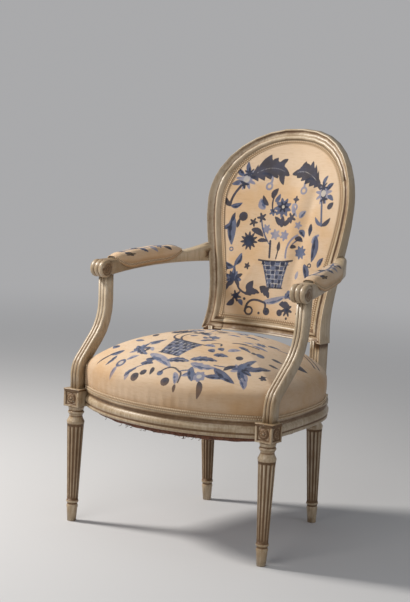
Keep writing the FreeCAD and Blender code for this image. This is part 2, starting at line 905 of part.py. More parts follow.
def webbing(layer, along_y):
    """One layer of straps across the seat frame, tacked down on the rails."""
    low = rail_top + layer * webbing_thickness
    inside = seat_plate(seat_edge_inset + 7, low, webbing_thickness).cut(seat_notches(2))
    pitch = webbing_width + webbing_gap
    far = 2 * rear_leg_setback
    straps = []
    for i in range(-3, 4):
        near_edge = i * pitch - webbing_width / 2
        far_edge = near_edge + webbing_width
        if along_y:
            strap = box(near_edge, far_edge, -far, far, 0, far)
        else:
            strap = box(
                -far, far, seat_centre_setback + near_edge, seat_centre_setback + far_edge, 0, far,
            )
        straps += [piece for piece in inside.common(strap).Solids if piece.Volume > 500]
    return Part.makeCompound(straps)


def bowl(inset, edge, drop):
    """The space over the sagging cloth, from a flat rim at edge down to drop below it."""
    rings = [seat_ring(inset, edge), seat_ring(inset, edge - 0.9)]
    for scale in (0.88, 0.7, 0.5, 0.28, 0.05):
        rings.append(seat_ring(inset, edge - 0.9 - drop * (1 - scale ** 2.2), scale))
    return ruled_body(rings)


def sagging_cloth():
    """The cloth under the seat: tacked to the rails' undersides and sagging in the middle."""
    inset = seat_edge_inset + 9
    edge = rail_underside - 0.1
    cloth = bowl(inset, edge, sag_depth).cut(bowl(inset + 1, edge + 1.1, sag_depth))
    clear = half_block + 3
    for x, y in ((front_leg_x, 0.0), (rear_leg_x, rear_leg_setback)):
        hole = Part.makeCylinder(clear, 2 * rail_height, Vector(x, y, rail_underside - rail_height))
        cloth = cloth.cut([hole, mirrored(hole)])
    return cloth


def opening_point(s, inset):
    outer, inner = stile_station(s)
    t = inset / frame_total_width
    return outer[0] + (inner[0] - outer[0]) * t, outer[1] + (inner[1] - outer[1]) * t


def crown_share(z):
    """How much of its crown the back's stuffing has at a height: none at top and bottom."""
    low = back_bottom + frame_face_width
    high = back_top - frame_face_width
    u = min(max((z - low) / (high - low), 0.0), 1.0)
    return 1 - abs(2 * u - 1) ** 3


def back_layer(inset, near, far, crown=0.0):
    """A layer over the back's opening. Each level is a slice between two hollow lines; near
    and far give its depths from the frame's face, and the crown swells its front."""
    sections = []
    for s in (0.0, first_square_station, 0.45, 0.75, 1.0, 1.25, 1.45, 1.62, 1.76, 1.87, 1.95):
        x, z = opening_point(s, inset)
        swell = crown * crown_share(z)
        shares = [1 - 2 * i / back_layer_flats for i in range(back_layer_flats + 1)]
        front = []
        rear = []
        for share in shares:
            level = back_face_y(x * share, z)
            front.append(Vector(x * share, level + near(z) - swell * (1 - share ** 2), z))
            rear.append(Vector(x * share, level + far(z), z))
        sections.append(front + rear[::-1])
    return ruled_body(sections)


def back_windows():
    """Boxes through the gaps between the crossing webbing straps of the back."""
    windows = []
    far = 2 * back_top
    low = back_bottom + frame_face_width + webbing_width / 2
    for row in range(6):
        z = low + row * (webbing_width + webbing_gap)
        for column in range(-2, 3):
            x = column * (webbing_width + webbing_gap) - webbing_gap / 2
            windows.append(box(x, x + webbing_gap, 0, far, z, z + webbing_gap))
    return windows


# Arm pad: share of its length, share of its width, rim's rise over the arm's side and
# crest's share of the crown
pad_stations = (
    (0.0, 0.5, 1.02, 0.2),
    (0.04, 0.78, 0.77, 0.42),
    (0.1, 0.92, 0.5, 0.58),
    (0.21, 1.0, 0.2, 0.72),
    (0.48, 1.0, 0.2, 0.93),
    (0.77, 1.0, 0.24, 1.0),
    (0.88, 0.94, 0.54, 0.9),
    (0.96, 0.75, 0.87, 0.65),
    (1.0, 0.5, 1.05, 0.37),
)


def pad_section(station, inset, on_top):
    """One crossways section of the arm pad. The cover hangs down the arm's sides to its rim,
    and the stuffing, on_top, has a flat foot on the arm."""
    along, width_share, rim_share, crest_share = station
    t = (arm_pad_start + arm_pad_length * along) / arm_length
    place = arm_place(t)
    w = (arm_half_width(t) + arm_pad_side_swell) * width_share - inset
    low = arm_underside(t)
    top = arm_top(t)
    crest = top + arm_pad_crown * crest_share - inset
    rim = top + soft_clearance if on_top else low + (top - low) * rim_share
    rise = crest - rim
    right = [(w, rim)]
    for share, height in ((1.02, 0.3), (1.0, 0.55), (0.88, 0.77), (0.62, 0.92), (0.3, 0.985)):
        right.append((w * share, rim + rise * height))
    left = [(-across, height) for across, height in right[::-1]]
    return [place(across, height) for across, height in right + [(0.0, crest)] + left]


def pad_body(inset, on_top=False):
    stations = pad_stations[1:-1] if on_top else pad_stations
    return ruled_body([pad_section(station, inset, on_top) for station in stations])


def volute_groove(side):
    """A two-turn spiral of half rings cut into one flat side of the arm's roll."""
    place = arm_place(0.0)
    face = side * arm_half_width(0.0)
    axis = (place(1.0, scroll_height) - place(0.0, scroll_height)).normalize()
    forward = Vector(axis.y, -axis.x, 0)
    centre = place(face, scroll_height)
    radius = scroll_radius * 0.7
    pitch = scroll_radius * 0.15
    half_mouth = 1.1
    half_rings = []
    for turn in range(4):
        hub = centre + forward * (-pitch if turn % 2 else 0.0)
        sections = []
        for step in range(volute_flats + 1):
            angle = math.pi * (turn + step / volute_flats)
            out = forward * math.cos(angle) + axis.cross(forward) * math.sin(angle)
            sections.append([
                hub + out * (radius - half_mouth) + axis * side,
                hub + out * radius - axis * side * volute_depth,
                hub + out * (radius + half_mouth) + axis * side,
            ])
        half_rings.append(ruled_body(sections))
        radius -= pitch
    return half_rings


def frame_point(s, inward, depth):
    x, z = opening_point(s, inward)
    return Vector(x, back_face_y(x, z) + depth, z)


# Mortises and tenons of the seat frame
lower_tenon_z = rail_underside + 11
upper_tenon_z = rail_underside + 29
front_joint_y = front_rail_end_setback + front_rail_end_thickness / 2 + 2
side_joint_x = front_leg_x - rail_thickness / 2 + 2.5
rear_joint_y = rear_block_back - rear_rail_thickness / 2 - 0.5
front_tenon, front_mortise = tenon_and_mortise(
    Vector(block_inner_x, front_joint_y, lower_tenon_z),
    (1, 0, 0), (0, 1, 0), tenon_thickness, tenon_height,
)
side_tenon, side_mortise = tenon_and_mortise(
    Vector(side_joint_x, half_block, upper_tenon_z),
    (0, -1, 0), (1, 0, 0), tenon_thickness, tenon_height,
)
side_tenon_inset = rail_thickness / 2 + 2
rise = (rear_block_front - side_rear_arc[1]) / (side_rear_arc[2] - side_tenon_inset)
joint_angle = math.degrees(math.asin(rise))
joint_x, joint_y = on_arc(side_rear_arc, joint_angle, -side_tenon_inset)
joint_run = Vector(-rise, math.cos(math.radians(joint_angle)), 0)
corner_tenon, corner_mortise = tenon_and_mortise(
    Vector(joint_x, joint_y, upper_tenon_z),
    joint_run, (joint_run.y, -joint_run.x, 0), tenon_thickness, tenon_height,
)
rear_tenon, rear_mortise = tenon_and_mortise(
    Vector(rear_block_inner_x, rear_joint_y, lower_tenon_z),
    (1, 0, 0), (0, 1, 0), tenon_thickness, tenon_height,
)

# Pegs driven down through the seat frame's tenons
peg_length = rail_height - 4
corner_peg_at = Vector(joint_x, joint_y, rail_top) + joint_run * (tenon_length / 2)
peg_places = [
    Vector(side_joint_x, front_joint_y, rail_top),
    Vector(rear_block_inner_x + peg_diameter / 2 + 1.7, rear_joint_y, rail_top),
    corner_peg_at,
]
pegs = []
peg_holes = []
for peg_place in peg_places:
    peg, hole = peg_and_hole(peg_place, Vector(0, 0, -1), peg_length)
    pegs.append(peg)
    peg_holes.append(hole)

# Joints of the back frame, the arms and their supports
crest_middle = frame_depth(widest_height) / 2 + 1
crest_start = frame_point(crest_joint, frame_face_width / 2, crest_middle)
crest_next = frame_point(crest_joint + 0.03, frame_face_width / 2, crest_middle)
crest_inner = frame_point(crest_joint, frame_face_width, crest_middle)
crest_tenon, crest_mortise = tenon_and_mortise(
    crest_start, crest_next - crest_start, crest_inner - crest_start,
    frame_face_width / 2, tenon_thickness,
)
lower_joint_z = back_bottom + frame_face_width / 2
lower_joint_depth = (frame_depth_bottom + rebate_depth) / 2 - 3
lower_start = Vector(
    lower_rail_half_length,
    back_face_y(lower_rail_half_length, lower_joint_z) + lower_joint_depth, lower_joint_z,
)
lower_next_x = lower_rail_half_length + tenon_length
lower_next = Vector(
    lower_next_x, back_face_y(lower_next_x, lower_joint_z) + lower_joint_depth, lower_joint_z,
)
lower_tenon, lower_mortise = tenon_and_mortise(
    lower_start, lower_next - lower_start, (0, 0, 1), tenon_height, tenon_thickness,
)
arm_joint_z = (arm_underside(1.0) + arm_top(1.0)) / 2 - 4
arm_joint_start = Vector(stile_x(arm_joint_z), arm_rear_setback + 8, arm_joint_z)
arm_tenon, arm_mortise = tenon_and_mortise(
    arm_joint_start, (-1, 0, 0), (0, 0, 1), tenon_height, tenon_thickness, tenon_length * 0.75,
)
support_t = (support_top_setback - arm_front_setback) / arm_length
support_top_z = arm_underside(support_t)
dowel_foot = Vector(support_x(support_top_z), support_top_setback, support_top_z - 10)
support_dowel = Part.makeCylinder(5, 24, dowel_foot)
dowel_hole = Part.makeCylinder(5 + tenon_clearance, 25, dowel_foot)
stub_x = front_leg_x + 2
stub = box(stub_x - 5, stub_x + 5, -8, 4, rail_top - 14, rail_top + 2)
gap = tenon_clearance
stub_hole = box(
    stub_x - 5 - gap, stub_x + 5 + gap, -8 - gap, 4 + gap, rail_top - 15, rail_top + 2,
)

# Frame parts of the sitter's left side
leg_front = front_leg().cut([front_mortise, side_mortise, stub_hole, peg_holes[0]])
stile = frame_run([stile_station(s) for s in stile_run])
leg_rear = rear_leg(stile).cut(
    [corner_mortise, rear_mortise, lower_mortise, arm_mortise, peg_holes[1], peg_holes[2]]
)
leg_rear = leg_rear.fuse(crest_tenon)
rail_side = side_rail().fuse([side_tenon, corner_tenon]).cut([peg_holes[0], peg_holes[2]])
arm = arm_blank().fuse(scroll())
arm = arm.cut(volute_groove(1.0) + volute_groove(-1.0))
arm = biggest(arm.cut([stile, moved(stile, 0.15, 0, 0)]))
arm = arm.fuse(arm_tenon).cut(dowel_hole)
arm_envelope = arm_blank().fuse(scroll())
support = support_blank().cut([arm_envelope, moved(arm_envelope, 0, 0, -0.15)])
support = biggest(support).fuse([support_dowel, stub])

# Frame parts on the middle line
both_front_tenons = [front_tenon, mirrored(front_tenon)]
both_front_pegs = [peg_holes[0], mirrored(peg_holes[0])]
rail_front = front_rail().fuse(both_front_tenons).cut(both_front_pegs)
both_rear_tenons = [rear_tenon, mirrored(rear_tenon)]
both_rear_pegs = [peg_holes[1], mirrored(peg_holes[1])]
rail_rear = rear_rail().fuse(both_rear_tenons).cut(both_rear_pegs)
crest = crest_rail().cut([crest_mortise, mirrored(crest_mortise)])
lower = lower_rail().fuse([lower_tenon, mirrored(lower_tenon)])

# Corner blocks inside the seat frame, fitted to the rails' hollow faces
inner_side_front = Part.makeCylinder(
    side_front_arc[2] - rail_thickness - 0.1, rail_top, Vector(side_front_arc[0], side_front_arc[1], 0),
)
inner_side_rear = Part.makeCylinder(
    side_rear_arc[2] - rail_thickness - 0.1, rail_top, Vector(side_rear_arc[0], side_rear_arc[1], 0),
)
inner_front = front_rail_hollow(-0.1)
front_corner = Vector(front_leg_x, -half_block, 0)
brace_front = corner_brace(
    front_corner, Vector(-1.7 * brace_reach, 0, 0), Vector(0, 1.9 * brace_reach, 0),
)
front_block_space = box(
    block_inner_x - 0.1, front_leg_x + 40, -half_block, half_block + 0.1, 0, rail_top,
)
brace_front = biggest(
    brace_front.common(inner_side_front).common(inner_front).cut(front_block_space)
)
rear_brace_y = rear_block_back - rear_rail_thickness - 0.4
rear_side = Vector(rear_corner[0] + 40, rear_brace_y, 0)
brace_rear = corner_brace(
    rear_side, Vector(-2.1 * brace_reach, 0, 0), Vector(0, -1.5 * brace_reach, 0),
)
rear_block_space = box(
    rear_block_inner_x - 0.1, rear_corner[0] + 40, rear_block_front - 0.1, rear_block_back,
    0, rail_top,
)
brace_rear = biggest(brace_rear.common(inner_side_rear).cut(rear_block_space))

# Seat upholstery
sheet_z = rail_top + 2 * webbing_thickness
webs_across = webbing(0, False)
webs_along = webbing(1, True)
seat_base = seat_plate(seat_edge_inset + 6, sheet_z, base_cloth_thickness)
seat_base = seat_base.cut(seat_notches(2.5))
lining = cover_thickness + soft_clearance
seat_cavity = seat_dome(cover_thickness).cut(seat_notches(lining))
seat_cover = biggest(seat_dome(0.0).cut(seat_notches(soft_clearance)).cut(seat_cavity))
stuffing_foot = sheet_z + base_cloth_thickness + soft_clearance
big = 2 * rear_leg_setback
above_sheet = box(-big, big, -big, big, stuffing_foot, big)
seat_stuffing = seat_dome(lining).cut(seat_notches(lining + soft_clearance)).common(above_sheet)
seat_stuffing = biggest(seat_stuffing)


def ring(outer_inset, inner_inset, z0, z1):
    outer = seat_plate(outer_inset, z0, z1 - z0)
    return outer.cut(seat_plate(inner_inset, z0 - 1, z1 - z0 + 2))


# The edging runs on top of the front and rear rails and laps down over the side rails
gimp_inner = seat_edge_inset - soft_clearance
high_gimp = ring(gimp_inner - gimp_thickness, gimp_inner, rail_top, rail_top + gimp_width)
lap = 7.0
lap_ring = ring(
    top_fillet_inset - 0.2 - gimp_thickness, top_fillet_inset - 0.2, rail_top - lap, rail_top + 2,
)
lap_ring = lap_ring.fuse(
    ring(top_fillet_inset - 0.2 - gimp_thickness, gimp_inner, rail_top + 0.1, rail_top + 3)
)
side_zone = box(-big, big, half_block + 1, rear_block_front, 0, big)
seat_gimp = high_gimp.cut(side_zone).fuse(lap_ring.common(side_zone)).cut(seat_notches(0.3))
seat_gimp = Part.makeCompound([piece for piece in seat_gimp.Solids if piece.Volume > 200])
bottom_cloth = sagging_cloth()

# Back upholstery
face = frame_face_width + soft_clearance
edge = back_pad_edge_depth
web_depth = rebate_depth - webbing_thickness - 0.1
cloth_depth = web_depth - base_cloth_thickness - 0.5
stuffing_depth = cloth_depth - 0.7
back_shell = back_layer(face, lambda z: edge, lambda z: stuffing_depth, back_pad_crown)
back_cavity = back_layer(
    face + cover_thickness, lambda z: edge + cover_thickness, lambda z: rebate_depth,
    back_pad_crown,
)
back_cover = biggest(back_shell.cut(back_cavity))
back_stuffing = back_layer(
    face + lining, lambda z: edge + lining, lambda z: stuffing_depth, back_pad_crown,
)
back_base = back_layer(
    face, lambda z: cloth_depth, lambda z: cloth_depth + base_cloth_thickness,
)
back_webs = back_layer(
    face, lambda z: web_depth, lambda z: web_depth + webbing_thickness,
)
back_webs = back_webs.cut(back_windows())
gimp_body = back_layer(
    face + 0.2, lambda z: edge - gimp_thickness - 0.3, lambda z: rebate_depth, back_pad_crown,
)
gimp_hollow = back_layer(
    face + gimp_width, lambda z: edge - 20, lambda z: 2 * rebate_depth, back_pad_crown,
)
back_gimp = gimp_body.cut([gimp_hollow, moved(back_shell, 0, -0.3, 0), back_cavity])
back_gimp = biggest(back_gimp)
outside_cover = back_layer(
    face, lambda z: frame_depth(z) - rear_rebate_depth, lambda z: frame_depth(z),
)

# Arm pads
arm_keep = arm_blank(soft_clearance)
pad_stuffing = pad_body(cover_thickness + 2 * soft_clearance, True)
pad_cover = pad_body(0.0).cut([arm_keep, pad_body(cover_thickness + soft_clearance, True)])
pad_cover = biggest(pad_cover)

sides = {
    "front_leg": leg_front,
    "rear_leg": leg_rear,
    "seat_side_rail": rail_side,
    "arm_support": support,
    "armrest": arm,
    "arm_pad_stuffing": pad_stuffing,
    "arm_pad_cover": pad_cover,
    "corner_block_front": brace_front,
    "corner_block_rear": brace_rear,
}
parts = {
    "seat_front_rail": rail_front,
    "seat_rear_rail": rail_rear,
    "back_crest_rail": crest,
    "back_lower_rail": lower,
    "seat_joint_pegs": Part.makeCompound(pegs + [mirrored(peg) for peg in pegs]),
    "seat_webbing_across": webs_across,
    "seat_webbing_along": webs_along,
    "seat_base_cloth": seat_base,
    "seat_stuffing": seat_stuffing,
    "seat_cover": seat_cover,
    "seat_gimp": seat_gimp,
    "seat_bottom_cloth": bottom_cloth,
    "back_webbing": back_webs,
    "back_base_cloth": back_base,
    "back_stuffing": back_stuffing,
    "back_cover": back_cover,
    "back_gimp": back_gimp,
    "back_outside_cover": outside_cover,
}
for name, shape in sides.items():
    parts[name + "_left"] = shape
    parts[name + "_right"] = mirrored(shape)

# The origin is on the floor, under the middle of the whole chair
front_most = -front_rail_reach
rear_most = back_face_y(0, back_top) + frame_depth_top
to_origin = Vector(0, -(front_most + rear_most) / 2, 0)
os.makedirs("parts", exist_ok=True)
for name, shape in parts.items():
    shape.translate(to_origin)
    shape.exportStep("parts/" + name + ".step")
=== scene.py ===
# %% [markdown]
# # An upholstered armchair, dressed over its frame
# The wooden frame comes from the construction model: every leg, rail and arm is already the
# right size. This lesson gives that frame its aged paint, and makes the soft parts that
# joinery can't describe: a domed seat, a crowned back, two arm pads, their embroidered
# pattern, the beaded braid and the sagging cloth underneath.

# %% Load the frame and keep its size
import math

import bmesh
import bpy
import numpy as np
from mathutils import Matrix


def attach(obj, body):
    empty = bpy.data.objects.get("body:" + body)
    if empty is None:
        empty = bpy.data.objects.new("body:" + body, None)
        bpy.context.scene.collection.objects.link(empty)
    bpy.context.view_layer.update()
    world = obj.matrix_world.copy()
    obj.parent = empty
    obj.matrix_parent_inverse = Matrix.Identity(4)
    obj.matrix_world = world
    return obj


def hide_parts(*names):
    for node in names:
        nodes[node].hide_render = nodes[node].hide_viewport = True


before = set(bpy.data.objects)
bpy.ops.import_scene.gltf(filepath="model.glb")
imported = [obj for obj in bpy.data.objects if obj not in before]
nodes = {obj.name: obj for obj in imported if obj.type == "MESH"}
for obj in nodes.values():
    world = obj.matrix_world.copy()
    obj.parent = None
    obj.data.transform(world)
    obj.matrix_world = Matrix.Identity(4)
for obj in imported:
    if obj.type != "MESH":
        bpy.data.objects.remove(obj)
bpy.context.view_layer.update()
print("the frame has", len(nodes), "nodes")

# %% [markdown]
# The sizes below are in millimetres, measured from the front legs' centre line, because
# that is how the seat and the back were drawn. The loaded frame is in metres and is centred,
# so every finished point moves forward by one distance. Random numbers come from one seeded
# source, so the chair is the same each time it is made.

# %% Units and random numbers
FORWARD = 219.7
chance = np.random.default_rng(7)


def metres(x, y, z):
    """Three arrays in millimetres as one array of points in the frame's metres."""
    points = np.stack(np.broadcast_arrays(x, y - FORWARD, z), axis=-1)
    return points / 1000.0


def smooth_step(low, high, value):
    """0 below low, 1 above high, and 3t^2 - 2t^3 between them."""
    t = np.clip((value - low) / (high - low), 0.0, 1.0)
    return t * t * (3 - 2 * t)


def add_object(name, data):
    """An object that holds the data, linked to the scene."""
    made = bpy.data.objects.new(name, data)
    bpy.context.scene.collection.objects.link(made)
    return made


print("first seeded number:", round(float(chance.random()), 3))

# %% [markdown]
# ## Writing materials as sums
# A finish is easier to read as arithmetic than as a web of nodes. A Shade wraps one output
# socket. Adding, subtracting or multiplying shades makes the Math nodes.

# %% Shades
class Shade:
    """A number that varies over a surface."""

    def __init__(self, finish, socket):
        self.finish = finish
        self.socket = socket

    def maths(self, operation, other=0.0, first=None):
        """One Math node, on this shade (or first) and another value."""
        one = self if first is None else first
        settings = {"operation": operation}
        return self.finish.node("ShaderNodeMath", settings, {0: one, 1: other})

    def __add__(self, other):
        return self.maths("ADD", other)

    def __sub__(self, other):
        return self.maths("SUBTRACT", other)

    def __rsub__(self, other):
        return self.maths("SUBTRACT", self, first=other)

    def __mul__(self, other):
        return self.maths("MULTIPLY", other)

    __radd__ = __add__
    __rmul__ = __mul__

    def sine(self):
        """The sine of the shade, taken as an angle in radians."""
        return self.maths("SINE")

    def step(self, low, high):
        """0 below low, 1 above high, smooth between."""
        settings = {"interpolation_type": "SMOOTHSTEP"}
        return self.finish.node("ShaderNodeMapRange", settings, {0: self, 1: low, 2: high})


print("operators of a shade: +, - and *, and the calls sine and step")

# %% [markdown]
# A Finish is one material on its way from an empty node tree to a surface. One method
# makes any node from its type, its settings and its inputs, and the others name the kinds
# used here: noise, cells, a stored number, a mix of two colours and a bump.

# %% Finishes
class Finish:
    """One material while it is being made."""

    def __init__(self, name):
        self.material = bpy.data.materials.new(name)
        self.material.use_nodes = True
        self.tree = self.material.node_tree
        self.tree.nodes.clear()
        self.place = self.node("ShaderNodeTexCoord", {}, {}, "Object")

    def node(self, kind, settings, inputs, output=0):
        """Adds a node, sets its settings, then fills or links its inputs."""
        made = self.tree.nodes.new(kind)
        for name, value in settings.items():
            setattr(made, name, value)
        for name, value in inputs.items():
            if isinstance(value, Shade):
                self.tree.links.new(value.socket, made.inputs[name])
            else:
                made.inputs[name].default_value = value
        return Shade(self, made.outputs[output])

    def noise(self, scale, detail=3.0, roughness=0.55, place=None):
        """Soft random cloudiness, with about scale patches to the metre."""
        inputs = {"Vector": place or self.place, "Scale": scale, "Detail": detail,
                  "Roughness": roughness}
        return self.node("ShaderNodeTexNoise", {}, inputs)

    def cell_edges(self, scale):
        """The distance to the nearest border between random cells."""
        inputs = {"Vector": self.place, "Scale": scale}
        return self.node("ShaderNodeTexVoronoi", {"feature": "DISTANCE_TO_EDGE"}, inputs)

    def along(self, axis, vector=None):
        """One coordinate of a vector: 0 is X, 1 is Y, 2 is Z."""
        return self.node("ShaderNodeSeparateXYZ", {}, {0: vector or self.place}, axis)

    def stretched(self, scale):
        """The object's coordinates, stretched by a scale for each axis."""
        return self.node("ShaderNodeMapping", {}, {"Vector": self.place, "Scale": scale})

    def kept(self, name):
        """A number stored on the mesh."""
        return self.node("ShaderNodeAttribute", {"attribute_name": name}, {}, "Fac")

    def mix(self, share, first, second):
        """The first colour where share is 0, the second where it is 1."""
        inputs = {0: share, 6: self.colour(first), 7: self.colour(second)}
        return self.node("ShaderNodeMix", {"data_type": "RGBA"}, inputs, 2)

    def colour(self, value):
        """A shade as it is, or three numbers with an opacity of 1 after them."""
        return value if isinstance(value, Shade) else (*value, 1.0)

    def bump(self, height, distance, strength=1.0):
        """A normal tilted as if the surface stood height times distance higher, in metres."""
        inputs = {"Height": height, "Distance": distance, "Strength": strength}
        return self.node("ShaderNodeBump", {}, inputs)

    def done(self, colour, roughness, normal=None, **fixed):
        """Closes the material; fixed values go onto the shader's own sockets."""
        shader = {"Base Color": self.colour(colour), "Roughness": roughness}
        if normal is not None:
            shader["Normal"] = normal
        for name, value in fixed.items():
            shader[name.replace("_", " ")] = value
        surface = self.node("ShaderNodeBsdfPrincipled", {}, shader)
        output = self.tree.nodes.new("ShaderNodeOutputMaterial")
        self.tree.links.new(surface.socket, output.inputs["Surface"])
        return self.material


print("a finish closes with one Principled surface")

# %% [markdown]
# ## Aged paint
# The frame was painted in a pale grey cream. Two centuries of wax and dust have gathered in
# the hollows of its mouldings as brown lines, and the raised edges are rubbed; they are also
# painted lighter, as a painted highlight. The paint is darker towards the bottom and at the
# front of the arms. The mesh can tell us where its hollows are, so each wooden piece will
# carry two numbers, hollow and ridge, and the paint reads them.

# %% Paint and bare wood
def painted_wood():
    """Grey cream paint: clouded, streaked, rubbed with a painted highlight, dirty in the hollows,
    chipped, crazed.
    """
    finish = Finish("painted_beech")
    hollow = finish.kept("hollow")
    ridge = finish.kept("ridge")
    cloud = finish.noise(9.0, 4.0)
    fleck = finish.noise(150.0, 4.0, 0.65)
    streak = finish.noise(1.0, 4.0, 0.6, finish.stretched((240.0, 240.0, 26.0)))
    paint = finish.mix(cloud.step(0.35, 0.68), (0.50, 0.40, 0.28), (0.37, 0.28, 0.17))
    paint = finish.mix(streak.step(0.45, 0.78) * 0.55, paint, (0.29, 0.20, 0.105))
    blotch = finish.noise(34.0, 5.0, 0.7).step(0.5, 0.72)
    paint = finish.mix(blotch * 0.38, paint, (0.31, 0.22, 0.12))
    # Raised edges are painted lighter: rubbed paint, and a painted highlight.
    rubbed_and_highlit = (ridge + (fleck - 0.5) * 1.3).step(0.45, 1.0) * 0.6
    paint = finish.mix(rubbed_and_highlit, paint, (0.60, 0.52, 0.395))
    backwards, height = finish.along(1), finish.along(2)
    # The paint is darker towards the bottom of the frame.
    feet = 1 - height.step(0.36, 0.52)
    haze = (hollow + (cloud - 0.5) * 0.8 + (fleck - 0.5) * 0.6 + feet * 0.14).step(0.05, 0.75)
    paint = finish.mix(haze * 0.6, paint, (0.25, 0.135, 0.05))
    darkening = (hollow + (cloud - 0.5) * 0.5 + (fleck - 0.5) * 0.35 + feet * 0.1).step(0.25, 0.65)
    paint = finish.mix(darkening * 0.93, paint, (0.095, 0.042, 0.014))
    # The paint is darker at the front of the arms.
    arm_fronts = height.step(0.53, 0.56) * (1 - backwards.step(0.02, 0.12)) * cloud.step(0.2, 0.6)
    paint = finish.mix(feet * (streak.step(0.3, 0.6) * 0.35 + blotch * 0.35), paint,
                       (0.22, 0.125, 0.05))
    paint = finish.mix(arm_fronts * 0.55, paint, (0.20, 0.125, 0.06))
    chip = finish.noise(55.0, 5.0, 0.7).step(0.665, 0.70) * (ridge + 0.25).step(0.1, 0.5)
    paint = finish.mix(chip * 0.8, paint, (0.24, 0.145, 0.072))
    crack = 1 - finish.cell_edges(330.0).step(0.0, 0.06)
    relief = streak * 0.5 + fleck * 0.35 - crack * 0.22 - chip * 0.9
    rough = 0.40 + darkening * 0.35 + (cloud - 0.5) * 0.25
    return finish.done(paint, rough, finish.bump(relief, 0.0005, 0.6), Coat_Weight=0.22,
                       Coat_Roughness=0.3)


def bare_wood():
    """Long grain with short dark pores."""
    finish = Finish("bare_beech")
    grain = finish.noise(1.0, 5.0, 0.6, finish.stretched((190.0, 190.0, 12.0)))
    pore = finish.noise(1.0, 2.0, 0.5, finish.stretched((900.0, 900.0, 60.0)))
    wood = finish.mix(grain.step(0.3, 0.7), (0.42, 0.26, 0.13), (0.28, 0.155, 0.07))
    wood = finish.mix(pore.step(0.6, 0.75) * 0.6, wood, (0.15, 0.08, 0.035))
    return finish.done(wood, 0.62 + grain * 0.15, finish.bump(pore, 0.0003, 0.5))


paint_finish = painted_wood()
bare_finish = bare_wood()
print("wood finishes:", paint_finish.name, bare_finish.name)

# %% [markdown]
# ## Cloth, braid and the hidden materials
# The cover is hand embroidery on a warm cream ground: pale, middle and dark blues. The
# drawing is stored on the mesh as distances to each motif's edge, in millimetres, and the
# finish turns a distance into a crisp woven edge, so the pattern stays sharp on any grid.

# %% Embroidered cloth
THREAD_PITCH = 0.0017
CREAM = (0.61, 0.455, 0.315)
PEACH = (0.56, 0.34, 0.16)


def woven(finish, pitch):
    """Threads over and under: the product of two sines of the cloth's own coordinates."""
    cloth = finish.node("ShaderNodeUVMap", {"uv_map": "cloth"}, {})
    turn = 2 * math.pi / pitch
    return (finish.along(0, cloth) * turn).sine() * (finish.along(1, cloth) * turn).sine()


def embroidered(name, ground, stain, has_pattern):
    """Slubbed linen, stained in clouds, with the four inks of a stored drawing over it."""
    finish = Finish(name)
    weave = woven(finish, THREAD_PITCH)
    stitch = finish.noise(720.0, 2.0, 0.6)
    broad = finish.noise(7.0, 4.0, 0.6)
    slub = finish.noise(1.0, 3.0, 0.6, finish.stretched((60.0, 60.0, 420.0)))
    colour = finish.mix(broad.step(0.42, 0.7) * 0.75, ground, stain)
    colour = finish.mix(slub.step(0.45, 0.8) * 0.35, colour, tuple(0.72 * c for c in stain))
    colour = finish.mix((stitch - 0.25) * 0.22, colour, (0.78, 0.67, 0.52))
    if has_pattern:
        jitter = (stitch - 0.5) * 2.4 + weave * 0.25
        fade = finish.noise(38.0, 3.0)
        inks = (
            ("ink_pale", (0.17, 0.18, 0.265), (0.28, 0.275, 0.33)),
            ("ink_mid", (0.038, 0.058, 0.125), (0.085, 0.115, 0.20)),
            ("ink_dark", (0.006, 0.009, 0.026), (0.017, 0.026, 0.062)),
            ("ink_light", (0.47, 0.42, 0.36), (0.36, 0.36, 0.40)),
        )
        for kept, deep, faded in inks:
            inside = (finish.kept(kept) + jitter).step(-0.45, 0.45)
            ink = finish.mix(fade.step(0.35, 0.7), deep, faded)
            colour = finish.mix(inside * 0.94, colour, ink)
    # Painted shade: the stored number darkens the cloth where it meets the frame and down the
    # pads' sides; the seat's wall is darker all round too.
    darkening = finish.kept("darkening")
    colour = finish.mix((darkening + (broad - 0.5) * 0.5).step(0.15, 0.9) * 0.62, colour,
                        (0.38, 0.205, 0.08))
    height = weave * 0.5 + stitch * 0.8 + slub * 0.5
    return finish.done(colour, 0.86 + stitch * 0.1, finish.bump(height, 0.0005, 0.75),
                       Sheen_Weight=0.12, Sheen_Roughness=0.5)


cover_finish = embroidered("cover_cloth", CREAM, PEACH, True)
plain_finish = embroidered("cover_cloth_plain", (0.56, 0.44, 0.31), (0.44, 0.31, 0.185), False)
print("covers:", cover_finish.name, plain_finish.name)

# %% [markdown]
# The braid and the loose threads are twisted cord. Webbing, linen, hair and the cloth
# under the seat are fibres that run mostly one way, so one function serves them all: it
# stretches a noise by a different amount along each axis.

# %% Cord and fibres
def corded(name, light, dark, scale):
    """Twisted thread: fine slanted ridges, darker between them, with painted shade in the stored
    hollows.
    """
    finish = Finish(name)
    twist = finish.noise(scale, 3.0, 0.6)
    hollow = finish.kept("hollow")
    # Painted shade: the stored hollows, between the beads and underneath, go dark.
    colour = finish.mix((hollow + (twist - 0.5) * 0.8).step(0.45, 1.1), light, dark)
    return finish.done(colour, 0.85 + twist * 0.1, finish.bump(twist, 0.0006, 0.8))


def fibrous(name, light, dark, scale, strand):
    """Coarse fibres: long noise stretched by strand, and short noise."""
    finish = Finish(name)
    long = finish.noise(1.0, 4.0, 0.65, finish.stretched(strand))
    short = finish.noise(scale, 4.0, 0.7)
    colour = finish.mix((long + short - 0.5).step(0.25, 0.75), light, dark)
    return finish.done(colour, 0.9 + short * 0.05, finish.bump(long + short, 0.0012, 0.8))


